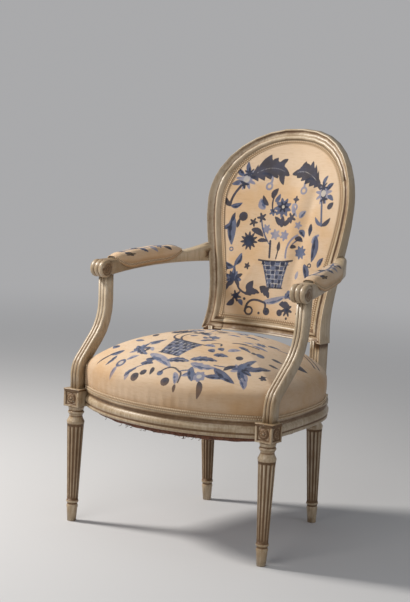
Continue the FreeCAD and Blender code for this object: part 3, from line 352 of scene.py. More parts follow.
braid_finish = corded("braid", (0.64, 0.50, 0.35), (0.25, 0.15, 0.07), 900.0)
thread_finish = corded("bottom_cloth_thread", (0.075, 0.035, 0.02), (0.03, 0.014, 0.008),
                       600.0)
bottom_finish = fibrous("bottom_cloth", (0.20, 0.070, 0.032), (0.075, 0.026, 0.014), 260.0,
                        (500.0, 60.0, 60.0))
stuffing_finish = fibrous("stuffing", (0.20, 0.15, 0.10), (0.06, 0.04, 0.025), 300.0,
                          (220.0, 40.0, 220.0))
webbing_finish = fibrous("webbing", (0.46, 0.36, 0.23), (0.28, 0.20, 0.12), 700.0,
                         (900.0, 40.0, 900.0))
base_finish = fibrous("base_cloth", (0.50, 0.41, 0.28), (0.34, 0.26, 0.16), 800.0,
                      (700.0, 700.0, 700.0))
print("cord and fibres are ready")

# %% [markdown]
# ## Dressing the wooden pieces
# A loaded piece is loose triangles, so its turned legs would shade in flats. A copy with its
# doubles merged can be shaded smooth wherever two faces meet at less than a set angle. On
# that copy an edge is hollow when the neighbouring face's middle lies in front of this
# face's plane, and raised when it lies behind. Dirt gathers within a few millimetres of a
# hollow edge, and wear and a painted highlight within a few millimetres of a raised one.

# %% Edges that turn
FLAT_BELOW = math.radians(18)
FULL_TURN = math.radians(65)
DIRT_REACH = 0.0034
# Reach of the ridge number, which carries wear and a painted highlight.
RIDGE_REACH = 0.0022
SAMPLE_STEP = 0.0016
BATCH = 400


def edge_turns(points, triangles):
    """Signed turn at every edge between two triangles: positive where it is hollow."""
    a, b, c = (points[triangles[:, i]] for i in range(3))
    normal = np.cross(b - a, c - a)
    normal /= np.linalg.norm(normal, axis=1, keepdims=True) + 1e-30
    middle = (a + b + c) / 3
    sides = np.concatenate([triangles[:, [0, 1]], triangles[:, [1, 2]], triangles[:, [2, 0]]])
    owner = np.tile(np.arange(len(triangles)), 3)
    sides.sort(axis=1)
    order = np.lexsort((sides[:, 1], sides[:, 0]))
    sides, owner = sides[order], owner[order]
    same = (sides[1:] == sides[:-1]).all(axis=1)
    one, two, edge = owner[:-1][same], owner[1:][same], sides[:-1][same]
    cosine = np.clip((normal[one] * normal[two]).sum(axis=1), -1, 1)
    towards = ((middle[two] - middle[one]) * normal[one]).sum(axis=1)
    return edge, np.arccos(cosine) * np.sign(towards)


def near_edges(points, edge, turn, reach):
    """For every point, the sharpest turn near it, fading to nothing at reach."""
    keep = turn > FLAT_BELOW
    start, end = points[edge[keep, 0]], points[edge[keep, 1]]
    count = np.ceil(np.linalg.norm(end - start, axis=1) / SAMPLE_STEP).astype(int).clip(1)
    which = np.repeat(np.arange(len(count)), count)
    step = np.arange(len(which)) - np.repeat(np.cumsum(count) - count, count)
    share = ((step + 0.5) / count[which])[:, None]
    samples = start[which] * (1 - share) + end[which] * share
    sharp = np.clip(turn[keep][which] / FULL_TURN, 0, 1)
    near = np.zeros(len(points))
    for first in range(0, len(points), BATCH):
        part = points[first:first + BATCH]
        gap = np.sqrt(((part[:, None] - samples[None]) ** 2).sum(axis=2))
        near[first:first + BATCH] = (sharp * (1 - gap / reach)).max(axis=1, initial=0).clip(0)
    return near


print("dirt reaches", DIRT_REACH * 1000, "mm from a hollow, wear", RIDGE_REACH * 1000, "mm")

# %% [markdown]
# A dressed piece is a copy that stands in for the loaded one: merged, divided where its
# edges are long, painted, and shaded smooth up to the angle of a carved edge. The two numbers
# are stored on its mesh as attributes, where the paint reads them.

# %% Dress a piece
SMOOTH_BELOW = math.radians(34)


def keep_number(mesh, name, values):
    """Stores one number for every vertex."""
    kept = mesh.attributes.new(name, "FLOAT", "POINT")
    kept.data.foreach_set("value", np.ascontiguousarray(values, np.float32).ravel())


def merge_doubles(mesh, split):
    """Joins points that lie on each other, then divides long edges as split says."""
    work = bmesh.new()
    work.from_mesh(mesh)
    bmesh.ops.remove_doubles(work, verts=work.verts, dist=2e-6)
    for low, high, least, cuts in split:
        long = [e for e in work.edges if e.calc_length() > least
                and all(low < v.co.z < high for v in e.verts)]
        bmesh.ops.subdivide_edges(work, edges=long, cuts=cuts, use_grid_fill=True)
        bmesh.ops.triangulate(work, faces=work.faces)
    work.to_mesh(mesh)
    work.free()


def dress(name, material, split=()):
    """A merged, smooth copy of a wooden node with its hollows and ridges stored. Each row
    of split gives two heights, between which edges over a length are divided by some cuts, so
    that the dirt stays near the hollows."""
    mesh = nodes[name].data.copy()
    mesh.name = name + "_dressed"
    mesh.materials.clear()
    mesh.materials.append(material)
    piece = add_object(name + "_dressed", mesh)
    merge_doubles(mesh, split)
    points = np.empty(3 * len(mesh.vertices))
    mesh.vertices.foreach_get("co", points)
    points = points.reshape(-1, 3)
    mesh.calc_loop_triangles()
    triangles = np.empty(3 * len(mesh.loop_triangles), int)
    mesh.loop_triangles.foreach_get("vertices", triangles)
    edge, turn = edge_turns(points, triangles.reshape(-1, 3))
    keep_number(mesh, "hollow", near_edges(points, edge, turn, DIRT_REACH))
    keep_number(mesh, "ridge", near_edges(points, edge, -turn, RIDGE_REACH))
    mesh.shade_smooth()
    mesh.set_sharp_from_angle(angle=SMOOTH_BELOW)
    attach(piece, "root")
    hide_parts(name)
    return piece


print("edges stay sharp above", round(math.degrees(SMOOTH_BELOW)), "degrees")

# %% [markdown]
# The frame is beech, sawn, turned on a lathe and carved, and joined before it is painted.
# Each of its 14 pieces is dressed by itself, so it can still be taken apart. Square blocks
# and turned rings have edges much longer than the dirt reaches, and those are divided first.

# %% Dress the frame
both = ("_left", "_right")
painted = ["seat_front_rail", "seat_rear_rail", "back_crest_rail", "back_lower_rail"]
for stem in ("front_leg", "rear_leg", "seat_side_rail", "arm_support", "armrest"):
    painted += [stem + side for side in both]
turned_rings = [(0.030, 0.053, 0.0028, 2), (0.220, 0.2675, 0.0035, 2)]
divided = {
    "front_leg": turned_rings + [(0.266, 0.308, 0.0075, 5)],
    "rear_leg": turned_rings + [(0.266, 0.445, 0.0075, 5)],
}
for name in painted:
    dress(name, paint_finish, divided.get(name.rsplit("_", 1)[0], ()))
print("painted pieces:", len(painted))

# %% [markdown]
# Inside the upholstery lie bare pegs and corner blocks, jute webbing that carries the seat,
# and the linen over it. They keep the construction model's shapes, because only their
# material is new: cut open, the chair would show them.

# %% Finish what stays hidden inside
inside = {
    "seat_joint_pegs": bare_finish, "seat_webbing_across": webbing_finish,
    "seat_webbing_along": webbing_finish, "seat_base_cloth": base_finish,
    "back_webbing": webbing_finish, "back_base_cloth": base_finish,
}
for stem in ("corner_block_front", "corner_block_rear"):
    for side in both:
        inside[stem + side] = bare_finish
for name, material in inside.items():
    nodes[name].data.materials.clear()
    nodes[name].data.materials.append(material)
print("inner pieces:", len(inside))

# %% [markdown]
# ## Grids into meshes
# Every soft surface here is a grid of points worked out at once, then handed over as quads.
# A round cushion gets a square grid squeezed onto rings, which has no crowded middle.

# %% Grids
def grid_faces(rows, columns, closed=False):
    """Quads between neighbouring rows and columns; closed joins the last column to the first."""
    index = np.arange(rows * columns).reshape(rows, columns)
    if closed:
        index = np.concatenate([index, index[:, :1]], axis=1)
    quads = (index[:-1, :-1], index[:-1, 1:], index[1:, 1:], index[1:, :-1])
    return np.stack([q.ravel() for q in quads], axis=1)


def grid_rim(count):
    """The outermost points of a square grid, once round."""
    index = np.arange(count * count).reshape(count, count)
    return np.concatenate([index[0, :-1], index[:-1, -1], index[-1, :0:-1], index[:0:-1, 0]])


def square_disc(count):
    """A square grid squeezed onto a disc's rings: each point's share of the way out from the
    middle, and the direction in which it lies."""
    side = np.linspace(-1, 1, count)
    across, along = np.meshgrid(side, side, indexing="xy")
    return np.maximum(abs(across), abs(along)), np.arctan2(along, across)


print("a grid of 3 x 3 points gives", len(grid_faces(3, 3)), "quads")

# %% [markdown]
# A cloth also needs a material, coordinates that run with its threads, a thickness, and
# a place on the chair. The construction model has a plain solid for each soft part, and the
# new piece is shown instead of it.

# %% Pieces
def make_piece(name, points, faces, material, cloth=None):
    """A smooth mesh object from points, faces and optional cloth coordinates in metres."""
    mesh = bpy.data.meshes.new(name)
    faces = faces if isinstance(faces, list) else faces.tolist()
    mesh.from_pydata(points.reshape(-1, 3).tolist(), [], faces)
    mesh.shade_smooth()
    mesh.materials.append(material)
    if cloth is not None:
        corners = np.empty(len(mesh.loops), int)
        mesh.loops.foreach_get("vertex_index", corners)
        layer = mesh.uv_layers.new(name="cloth")
        layer.data.foreach_set("uv", cloth.reshape(-1, 2)[corners].astype(np.float32).ravel())
    return add_object(name, mesh)


def settle(piece, slot, *replaced):
    """Fixes a piece to the chair, in place of the nodes it shows; slot is not used."""
    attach(piece, "root")
    if replaced:
        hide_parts(*replaced)
    return piece


def thicken(piece, thickness):
    """Gives a cloth surface its thickness, inwards from the face it shows."""
    solid = piece.modifiers.new("thickness", "SOLIDIFY")
    solid.thickness = thickness
    solid.offset = -1.0


print("a cloth is made, thickened and settled")

# %% [markdown]
# ## The seat's plan
# The seat follows the rails: a bowed front, sides that run nearly straight and then turn in,
# and a slightly bowed rear. Each side is an arc, and the whole outline is kept as a distance
# from one centre for every direction.

# %% Seat outline
SEAT_CENTRE = 165.0
RAIL_TOP = 307.0
SEAT_INSET = 5.0


def arc(start, end, sag, count=40):
    """Points from start to end on an arc that bulges to the right of its way by sag."""
    start, end = np.array(start), np.array(end)
    half = np.linalg.norm(end - start) / 2
    radius = (half ** 2 + sag ** 2) / (2 * sag)
    along = (end - start) / (2 * half)
    outwards = np.array([along[1], -along[0]])
    angle = np.linspace(-1, 1, count) * math.asin(half / radius)
    middle = (start + end) / 2 + outwards * (sag - radius)
    return middle + radius * (np.sin(angle)[:, None] * along + np.cos(angle)[:, None] * outwards)


def all_round(angle, reach):
    """Sorts reaches by angle and repeats them a turn either way, so that they wrap."""
    order = np.argsort(angle)
    angle, reach = angle[order], reach[order]
    return np.concatenate([angle - 2 * math.pi, angle, angle + 2 * math.pi]), np.tile(reach, 3)


def seat_outline(inset):
    """Angle and reach of the seat's outline about its centre, inset from the rails' line."""
    front = arc((-250.6, 15.5), (250.6, 15.5), 93.5)
    side = arc((257.5, 20.5), (238.0, 250.0), 8.7)
    rear_side = arc((238.0, 250.0), (170.0, 385.0), 5.8)
    rear = arc((170.0, 385.0), (-170.0, 385.0), 14.5)
    flip = np.array([-1.0, 1.0])
    line = np.concatenate([front, side, rear_side, rear, rear_side[::-1] * flip,
                           side[::-1] * flip])
    x, y = line[:, 0], line[:, 1] - SEAT_CENTRE
    return all_round(np.arctan2(y, x), np.hypot(x, y) - inset)


front_reach = np.interp(-math.pi / 2, *seat_outline(SEAT_INSET))
print("seat reach at the front:", round(float(front_reach), 1), "mm")

# %% [markdown]
# The cover is cut round the arm supports and the back posts, so cloth that would lie in
# them is moved out, sideways or along, whichever is nearer. The support leans back as it
# rises, so its rear face is a line of height.

# %% Room for the supports and the posts
SUPPORT_INNER = 245.2
SUPPORT_LEAN = 45.4
SUPPORT_BEND = 40
POST_INNER = 136.4
POST_FRONT = 355.1


def support_back(height):
    """The rear of the arm support at a height: upright, a bend, then a straight lean."""
    turn = np.radians(np.linspace(0, SUPPORT_LEAN, 8))
    bend = SUPPORT_BEND * np.sin(turn), SUPPORT_BEND * (1 - np.cos(turn))
    heights = np.concatenate([[300.0], 339.3 + bend[0], [435.0]])
    setbacks = np.concatenate([[3.5], 3.5 + bend[1], [83.0]])
    return np.interp(height, heights, setbacks) + 14.0 + 6.0 * smooth_step(345, 370, height)


def clear_wood(x, y, z, gap):
    """Points that would lie in an arm support or a back post move out by the shorter way."""
    sign = np.sign(x)
    for half_width, depth, way in ((SUPPORT_INNER, support_back(z), 1),
                                   (POST_INNER, POST_FRONT, -1)):
        wide = abs(x)
        into = wide - (half_width - gap)
        reach = way * (depth - y) + gap
        hit = (into > 0) & (reach > 0)
        x = np.where(hit & (into <= reach), sign * (wide - into), x)
        y = np.where(hit & (into > reach), y + way * reach, y)
    return x, y


print("the support's rear at the crown:", round(float(support_back(390.0)), 1), "mm")

# %% [markdown]
# ## The domed seat
# Horsehair under tight cloth gives a low wall, a soft shoulder and a broad crown. The
# profile is drawn once, from the centre outwards and down, and its shoulder is rounded by
# averaging neighbouring points. Small pulls along the bottom edge show where it is nailed.

# %% Seat profile
WALL = 60
CROWN = 83
MEAN_REACH = 245.0


def wall_bulge(height):
    """How far the wall stands out: the sine of its height, to the power 0.8."""
    return 3.4 * np.sin(np.pi * np.clip((height - RAIL_TOP) / WALL, 0, 1)) ** 0.8


def seat_profile(shrink):
    """Place, reach, height and length along the profile. The crown is 83 (1 - s^2.5) mm over
    the wall, and a Gaussian average rounds the shoulder between them."""
    scale = np.linspace(0, 1, 260)
    dome = RAIL_TOP + WALL + CROWN * (1 - scale ** 2.5) - shrink
    drop = np.linspace(0, 1, 61)[1:]
    wall = RAIL_TOP + (WALL - shrink) * (1 - drop)
    run = np.concatenate([scale * MEAN_REACH, np.full(60, MEAN_REACH)])
    height = np.concatenate([dome, wall])
    length = np.concatenate([[0], np.cumsum(np.hypot(np.diff(run), np.diff(height)))])
    even = np.linspace(0, length[-1], 600)
    run, height = np.interp(even, length, run), np.interp(even, length, height)
    reach = 9.0 / (even[1] - even[0])
    window = np.exp(-0.5 * (np.arange(-40, 41) / reach) ** 2)
    window /= window.sum()
    rounded = []
    for values, sign in ((run, -1), (height, 1)):
        ends = sign * values[40:0:-1], 2 * values[-1] - values[-2:-42:-1]
        rounded.append(np.convolve(np.concatenate([ends[0], values, ends[1]]), window, "valid"))
    return even / even[-1], rounded[0] / MEAN_REACH, rounded[1], length[-1]


print("profile length:", round(float(seat_profile(0.0)[3]), 1), "mm")

# %% [markdown]
# Carried round the outline, the profile gives the cover, with slow waves where the hair
# lies unevenly. The cloth coordinates are the same grid rolled out flat, so the threads and
# the pattern don't crowd on the shoulder.

# %% Seat cover
SEAT_GRID = 210
COVER_GAP = 0.4


def seat_surface(count, shrink, gap):
    """Points of the domed seat on a square-disc grid, with its unrolled cloth coordinates."""
    share, way = square_disc(count)
    place, scale, height, length = seat_profile(shrink)
    z = np.interp(share, place, height)
    reach = np.interp(way, *seat_outline(SEAT_INSET + shrink))
    out = np.interp(share, place, scale) * reach + np.interp(share, place, wall_bulge(height))
    x, y = out * np.cos(way), SEAT_CENTRE + out * np.sin(way)
    wave = (np.sin(x / 37 + 0.6) * np.sin(y / 43 + 1.1) + 0.6 * np.sin(x / 19 - y / 27))
    z = z + wave * 0.9 * smooth_step(1.0, 0.75, share)
    low = smooth_step(0.78, 1.0, share)
    pull = np.sin(way * 78) * 0.35 + np.sin(way * 31 + 1) * 0.4 - 0.5
    x, y = x + np.cos(way) * pull * low, y + np.sin(way) * pull * low
    unrolled = share * length / MEAN_REACH * reach
    flat = np.stack([unrolled * np.cos(way), SEAT_CENTRE + unrolled * np.sin(way)], axis=-1)
    x, y = clear_wood(x, y, z, gap)
    return x, y, z, flat, share


x, y, z, seat_flat, share = seat_surface(SEAT_GRID, 0.0, COVER_GAP)
seat_cover = make_piece("seat_cover_cloth", metres(x, y, z), grid_faces(SEAT_GRID, SEAT_GRID),
                        cover_finish, seat_flat / 1000)
# Darker all round the seat's wall, and painted shade at its foot by the rail.
darker_wall = smooth_step(0.70, 0.86, share) * 0.55
keep_number(seat_cover.data, "darkening", darker_wall + smooth_step(0.93, 1.0, share) * 0.5)
thicken(seat_cover, 0.0012)
settle(seat_cover, "cover_cloth", "seat_cover")
print("seat cover:", len(seat_cover.data.polygons), "quads")

# %% [markdown]
# The stuffing is a second, smaller seat under the cover: curled hair, teased and stitched
# down on the linen. It is closed underneath by a fan of triangles, because a stuffing has an
# inside, where a cloth has none.

# %% Seat stuffing
PADDING = 2.4
TACK_HEIGHT = 3.6
count = 70
x, y, z, flat, share = seat_surface(count, PADDING, PADDING)
z = np.maximum(z, RAIL_TOP + TACK_HEIGHT)
middle = metres(0.0, SEAT_CENTRE, RAIL_TOP + TACK_HEIGHT)
edge = grid_rim(count)
fan = np.stack([np.roll(edge, -1), edge, np.full(len(edge), count * count)], axis=1)
seat_hair = make_piece("seat_hair", np.vstack([metres(x, y, z).reshape(-1, 3), middle]),
                       grid_faces(count, count).tolist() + fan.tolist(), stuffing_finish)
settle(seat_hair, "stuffing", "seat_stuffing")
print("seat stuffing:", len(seat_hair.data.polygons), "faces")

# %% [markdown]
# ## Drawing the embroidery
# The design is a traditional one: a chequered vase of flowers between leafy sprays. Each
# motif is a formula that says how far inside it a point lies, in millimetres. Several motifs
# of one colour are joined by taking the largest value at every point.

# %% Inks
FARTHEST = 9.0


class Inks:
    """Four inks over points (a, b) in millimetres; each keeps its largest inside distance."""

    def __init__(self, a, b):
        self.a, self.b = a, b
        self.inks = {ink: np.full(a.shape, -FARTHEST) for ink in ("pale", "mid", "dark", "light")}

    def put(self, ink, inside):
        """Joins a motif to an ink: the larger of the old and the new inside distance."""
        self.inks[ink] = np.maximum(self.inks[ink], np.clip(inside, -FARTHEST, FARTHEST))

    def away(self, x, y):
        """Every point's distance from (x, y)."""
        return np.hypot(self.a - x, self.b - y)

    def keep(self, mesh):
        """Stores the inks on the mesh, and returns the share that the darkest one covers."""
        for ink, values in self.inks.items():
            keep_number(mesh, "ink_" + ink, values)
        return round(float((self.inks["dark"] > 0).mean()), 3)


print("inks reach", FARTHEST, "mm to either side of an edge")

# %% [markdown]
# Leaves are most of the design. A leaf is a spindle about its middle line, bent and
# cut by teeth, with a band of the next darker blue along one side, as long stitches shade it.
# A stem is a curve through three points, drawn with an even width.

# %% Leaves and stems
DEEPER = {"pale": "mid", "mid": "dark"}


class Sprigs(Inks):
    """Leaves, stems, and sprays of leaves."""

    def leaf(self, inks, x0, y0, x1, y1, width, bend=0.0, teeth=0):
        """A pointed leaf. Its half width is 0.62 w sin(pi u^0.8)^0.75 at a share u of its
        length, cut by saw teeth. A second ink draws its vein."""
        length = math.hypot(x1 - x0, y1 - y0)
        along = (x1 - x0) / length, (y1 - y0) / length
        u = ((self.a - x0) * along[0] + (self.b - y0) * along[1]) / length
        v = (self.b - y0) * along[0] - (self.a - x0) * along[1] - bend * 4 * u * (1 - u)
        inner = np.clip(u, 0, 1)
        half = width * 0.62 * np.sin(np.pi * inner ** 0.8) ** 0.75
        if teeth:
            lobe = (inner * teeth + 0.35 * v / width) % 1.0
            half = half * (0.62 + 0.46 * lobe ** 0.7)
        ends = np.minimum(u, 1 - u) * length
        self.put(inks[0], np.minimum(half - abs(v), ends))
        if inks[0] in DEEPER and width > 9:
            rib = half * (0.30 + 0.12 * np.sin(u * 19))
            self.put(DEEPER[inks[0]],
                     np.minimum(rib - abs(v + half * 0.38), ends - 0.16 * length))
        for vein in inks[1:]:
            self.put(vein, np.minimum(0.7 - abs(v), ends - 0.14 * length))

    def stem(self, inks, x0, y0, x1, y1, x2, y2, width):
        """A line a little thick: the quadratic curve through three points."""
        p0, p1, p2 = np.array([[x0, y0], [x1, y1], [x2, y2]], float)
        bend = 2 * p1 - (p0 + p2) / 2
        t = np.linspace(0, 1, 18)[:, None]
        line = (1 - t) ** 2 * p0 + 2 * t * (1 - t) * bend + t ** 2 * p2
        near = np.full(self.a.shape, 1e9)
        for (x, y), (dx, dy) in zip(line[:-1], np.diff(line, axis=0)):
            k = ((self.a - x) * dx + (self.b - y) * dy) / (dx * dx + dy * dy + 1e-9)
            k = np.clip(k, 0, 1)
            near = np.minimum(near, self.away(x + k * dx, y + k * dy))
        self.put(inks[0], width * 0.5 + 0.5 - near)

    def spray(self, inks, x, y, size, turn, leaves=5):
        """Leaves fanned about a centre, every second one shorter."""
        for i in range(leaves):
            angle = turn + (i - (leaves - 1) / 2) * 2.3 / max(leaves - 1, 1)
            long = size * (1.0 if i % 2 == 0 else 0.8)
            self.leaf([inks[i % len(inks)]], x, y, x + long * math.cos(angle),
                      y + long * math.sin(angle), size * 0.34, 0.06 * size)


print("each spray has 5 leaves, unless its row says otherwise")

# %% [markdown]
# Flowers and fruit are round. A petalled rim is a circle whose radius swells and
# shrinks with the angle, and an eye in a second ink sits in its middle.

# %% Flowers and fruit
class Blooms(Sprigs):
    """What is round: flowers, berries and rings."""

    def flower(self, inks, x, y, radius, petals, depth=0.3, turn=0.0, eye=0.3):
        """Petals swell the radius r to 1.14 r (1 - d/2 + d/2 cos(n angle))."""
        angle = np.arctan2(self.b - y, self.a - x) + turn
        rim = 1.14 * radius * (1 - depth / 2 + depth / 2 * np.cos(petals * angle))
        self.berry(inks, x, y, radius, eye, rim)

    def berry(self, inks, x, y, radius, eye=0.36, rim=None):
        """A disc, or the inside of a rim, with an eye where a second ink is named."""
        distance = self.away(x, y)
        self.put(inks[0], (radius if rim is None else rim) - distance)
        for ink in inks[1:]:
            self.put(ink, radius * eye - distance)

    def ring(self, inks, x, y, radius, width):
        """A circle as a line: half its width, less the distance from the radius."""
        self.put(inks[0], width / 2 - abs(self.away(x, y) - radius))


print("round motifs: flower, berry and ring")

# %% [markdown]
# The vase is the largest motif: a basket between four corners, crossed by light
# lines with every second square dark, under a curved rim and on a foot. With it the drawing
# is complete, and it reads a whole design from a table.

# %% The vase and the whole drawing
class Drawing(Blooms):
    """A whole design: each key names a motif and its inks, each row gives its numbers."""

    def __init__(self, a, b, design):
        super().__init__(a, b)
        motifs = {"vase": self.vase, "leaf": self.leaf, "stem": self.stem, "berry": self.berry,
                  "flower": self.flower, "ring": self.ring, "spray": self.spray}
        for key, rows in design.items():
            motif, *inks = key.split()
            for row in rows:
                motifs[motif](inks, *row)

    def vase(self, inks, *numbers):
        """A flared basket between four corners: dark bars, light chequers, a rim and a foot."""
        tl, tr, fl, fr = np.array(numbers[:8], float).reshape(4, 2)
        rows, columns = numbers[8:]
        down = (fl + fr) / 2 - (tl + tr) / 2
        tall = np.linalg.norm(down)
        down = down / tall
        side = np.array([-down[1], down[0]])
        side = side * np.sign(side @ (tr - tl))
        middle = (tl + tr) / 2
        v = (self.a - middle[0]) * down[0] + (self.b - middle[1]) * down[1]
        u = (self.a - middle[0]) * side[0] + (self.b - middle[1]) * side[1]
        top, foot = np.linalg.norm(tr - tl) / 2, np.linalg.norm(fr - fl) / 2
        half = top + (foot - top) * np.clip(v / tall, 0, 1) ** 0.8
        inside = np.minimum(np.minimum(half - abs(u), v), tall - v)
        self.put("mid", inside)
        cell_u, cell_v = u / (2 * half) * columns, v / tall * rows
        off = np.minimum(abs((cell_u + 0.5) % 1.0 - 0.5) * 2 * half / columns,
                         abs((cell_v + 0.5) % 1.0 - 0.5) * tall / rows)
        self.put("light", np.minimum(inside - 1.0, 0.85 - off))
        check = ((np.floor(cell_u + 40) + np.floor(cell_v + 40)) % 2) * 2 - 1
        self.put("dark", np.minimum(inside - 1.2, np.minimum(off - 1.0, check * 3)))
        for level, thick, out in ((-0.04, 4.6, 1.2), (0.12, 2.6, 1.08), (1.0, 3.4, 1.1)):
            lift = v - level * tall - 3.5 * (1 - (u / (half * out + 1e-6)) ** 2) * (level < 0.5)
            self.put("dark", np.minimum(thick / 2 - abs(lift), half * out + 1 - abs(u)))


print("the motifs are leaf, stem, flower, berry, ring, vase and spray")

# %% [markdown]
# The seat's design faces the sitter's knees: a vase lies across the middle, with leaf
# sprays, round fruit and curling stems round it. The embroiderer would have pricked it
# through a paper; here the paper is a table. A key names a motif and its inks, and the rows
# are in the seat's own plan, with two ends and a width for a leaf, three points and a width
# for a stem, and a middle and a size for what is round.

# %% Draw on the seat
SEAT_DESIGN = {
    "vase": ((-40, 60, 42, 66, -38, 2, 20, -6, 5, 6),),
    "leaf dark": ((-84, 112, -34, 142, 22, 7, 4), (-36, 132, -6, 152, 15, -4, 3),
        (112, -58, 130, -98, 12, 4), (62, -84, 66, -104, 7), (-176, 2, -212, -30, 6, -4),
        (180, 128, 200, 146, 10), (96, 110, 112, 132, 7), (-16, 250, -40, 268, 11, 2),
        (-204, 172, -234, 214, 21, -6), (-196, 92, -216, 108, 9), (16, 250, 40, 268, 11, 2),
        (204, 172, 234, 214, 21, 6), (196, 92, 216, 108, 9), (140, -4, 156, 26, 10, 3),
        (-20, -52, -14, -76, 9, 2)),
    "leaf mid": ((20, 78, 48, 104, 12, 3, 3), (110, 96, 146, 92, 12, 3, 3),
        (116, -40, 158, -26, 12, 2), (-146, 12, -186, 2, 14, 3), (-62, -42, -26, -40, 11, 3),
        (-88, -84, -62, -58, 10, 3, 3), (-96, 44, -58, 62, 12, -3), (-88, 36, -64, 44, 8),
        (-150, 64, -120, 58, 9), (172, 24, 178, 72, 13, 4), (184, 26, 216, 76, 13, -4),
        (66, 44, 84, 40, 13, 2), (80, 62, 96, 56, 12, 2), (-22, 98, -8, 112, 9),
        (-62, 192, -98, 202, 12, -4, 3), (-58, 236, -92, 250, 12, -4, 3),
        (-130, 186, -150, 214, 12, 4), (-206, 150, -238, 132, 15, -3),
        (-84, 300, -118, 322, 13, -3, 3), (22, 98, 8, 112, 9), (62, 192, 98, 202, 12, 4, 3),
        (58, 236, 92, 250, 12, 4, 3), (130, 186, 150, 214, 12, 4), (206, 150, 238, 132, 15, 3),
        (84, 300, 118, 322, 13, 3, 3), (70, -26, 98, -66, 13, -3), (88, 30, 120, 44, 13, 3, 3),
        (-30, -22, -58, -26, 12, 3), (-156, -6, -172, -40, 12, 3, 3),
        (-178, 34, -208, 50, 13, 3), (-212, 62, -236, 88, 12, 3)),
    "leaf mid light": ((0, -26, 56, -14, 15, 3, 4), (52, -8, 112, 16, 15, 5, 5),
        (-113, 26, -64, -10, 16, -5, 4)),
    "leaf mid pale": ((118, -8, 186, -24, 17, -3, 0),),
    "leaf pale": ((118, 136, 156, 150, 12, 3), (-58, -6, 26, -46, 17, 3),
        (42, -54, 62, -86, 11, 3), (-128, -50, -142, -86, 11, 3), (-112, -30, -84, -14, 10, 2),
        (-84, -92, -74, -70, 8), (176, 12, 206, -8, 12, 3), (44, 60, 72, 62, 12, 3),
        (-30, 170, -64, 176, 11, -3), (-112, 156, -92, 138, 11, 3), (-30, 320, -66, 340, 11, -3),
        (30, 170, 64, 176, 11, 3), (112, 156, 92, 138, 11, 3), (30, 320, 66, 340, 11, 3),
        (84, -36, 62, -60, 11, 2), (104, 62, 126, 84, 12, 3), (188, -4, 214, -26, 13, 3)),
    "leaf pale light": ((60, -18, 124, -6, 18, -4, 4),),
    "stem dark": ((-34, 66, -58, 92, -50, 128, 4), (-20, 66, -36, 100, -12, 142, 4),
        (8, -62, 26, -44, 52, -50, 3.4), (52, -50, 60, -56, 66, -78, 3.4),
        (88, 106, 112, 122, 140, 134, 4.5), (54, 74, 70, 84, 78, 74, 3.6),
        (-146, 314, -178, 306, -212, 282, 5), (-154, 334, -184, 326, -214, 304, 4),
        (146, 314, 178, 306, 212, 282, 5), (154, 334, 184, 326, 214, 304, 4)),
    "stem mid": ((112, 0, 132, 6, 152, 12, 3), (52, -48, 74, -38, 92, -44, 3),
        (-74, -62, -58, -50, -44, -44, 2.6), (-10, 150, -22, 196, -34, 232, 2.8),
        (-150, 200, -168, 240, -150, 286, 3), (10, 150, 22, 196, 34, 232, 2.8),
        (150, 200, 168, 240, 150, 286, 3)),
    "flower dark": ((226, 28, 9, 5, 0.5),),
    "flower dark mid": ((0, 196, 15, 8, 0.45, 0, 0.5),),
    "flower mid light": ((-52, 166, 15, 7, 0.45, 0.2, 0.35), (-44, 214, 14, 6, 0.35, 0.2),
        (44, 214, 14, 6, 0.35, 0.2), (2, 294, 14, 6, 0.4, 0, 0.35)),
    "flower mid pale": ((30, 118, 14, 6, 0.4, 0.1, 0.4), (-122, 170, 13, 6, 0.35, 0.5),
        (122, 170, 13, 6, 0.35, 0.5)),
    "flower pale light": ((104, -46, 15, 7, 0.25, 0.3, 0.42),),
    "berry dark": ((-36, -70, 8.5), (150, 98, 6)),
    "berry dark mid": ((34, -84, 11), (-54, -84, 11.5), (-58, 300, 8), (58, 300, 8)),
    "berry dark pale": ((142, 54, 8.5), (-112, 92, 8)),
    "berry light": ((-122, -40, 5),),
    "berry mid pale": ((9, -66, 7.5), (163, 106, 10)),
    "ring mid": ((-122, -40, 10, 7),),
    "spray dark mid dark": ((-60, 128, 34, 1.9, 5),),
    "spray mid dark pale": ((-14, 132, 30, 0.9, 5), (-76, 20, 24, 4.4, 3)),
    "spray mid pale": ((166, 18, 26, 2.9, 4),),
    "spray mid pale dark": ((-168, 232, 30, 2.47, 5), (168, 232, 30, 0.67, 5),
        (-150, 96, 30, 2.7, 5)),
    "spray mid pale mid": ((-98, 14, 30, 2.5),),
    "spray mid pale mid mid": ((168, 18, 34, 0.2, 6),),
}

drawing = Drawing(seat_flat[..., 0], seat_flat[..., 1], SEAT_DESIGN)
print("seat pattern: darkest ink covers", drawing.keep(seat_cover.data))

# %% [markdown]
# ## The back
# The back is raked, hollow in plan, and arched like a medallion. Its pad is stretched from
# edge to edge, so it swells most halfway up and in the middle. The outline is drawn as the
# outer edge of the frame, moved inwards square to itself.

# %% Back outline
RAKE = math.tan(math.radians(13.2))
BACK_BOTTOM = 426.0
BACK_HEIGHT = 485.0
WAIST = 482.0
WIDEST = 735.0
HALF_WAIST = 158.5
HALF_WIDEST = 193.4
ARCH_POWER = 0.916


def back_face(x, z):
    """Raked plane, less a parabola across that deepens upwards."""
    low, high = 28.7 / 165.7 ** 2, 70.5 / HALF_WIDEST ** 2
    hollow = low + (high - low) * (z - BACK_BOTTOM) / BACK_HEIGHT
    return 378.7 + (z - BACK_BOTTOM) * RAKE - hollow * x * x


def frame_depth(z):
    """The frame's depth from face to rear: 49 mm at the bottom, 25 at the top."""
    return 49.0 - 24.0 * (z - BACK_BOTTOM) / BACK_HEIGHT


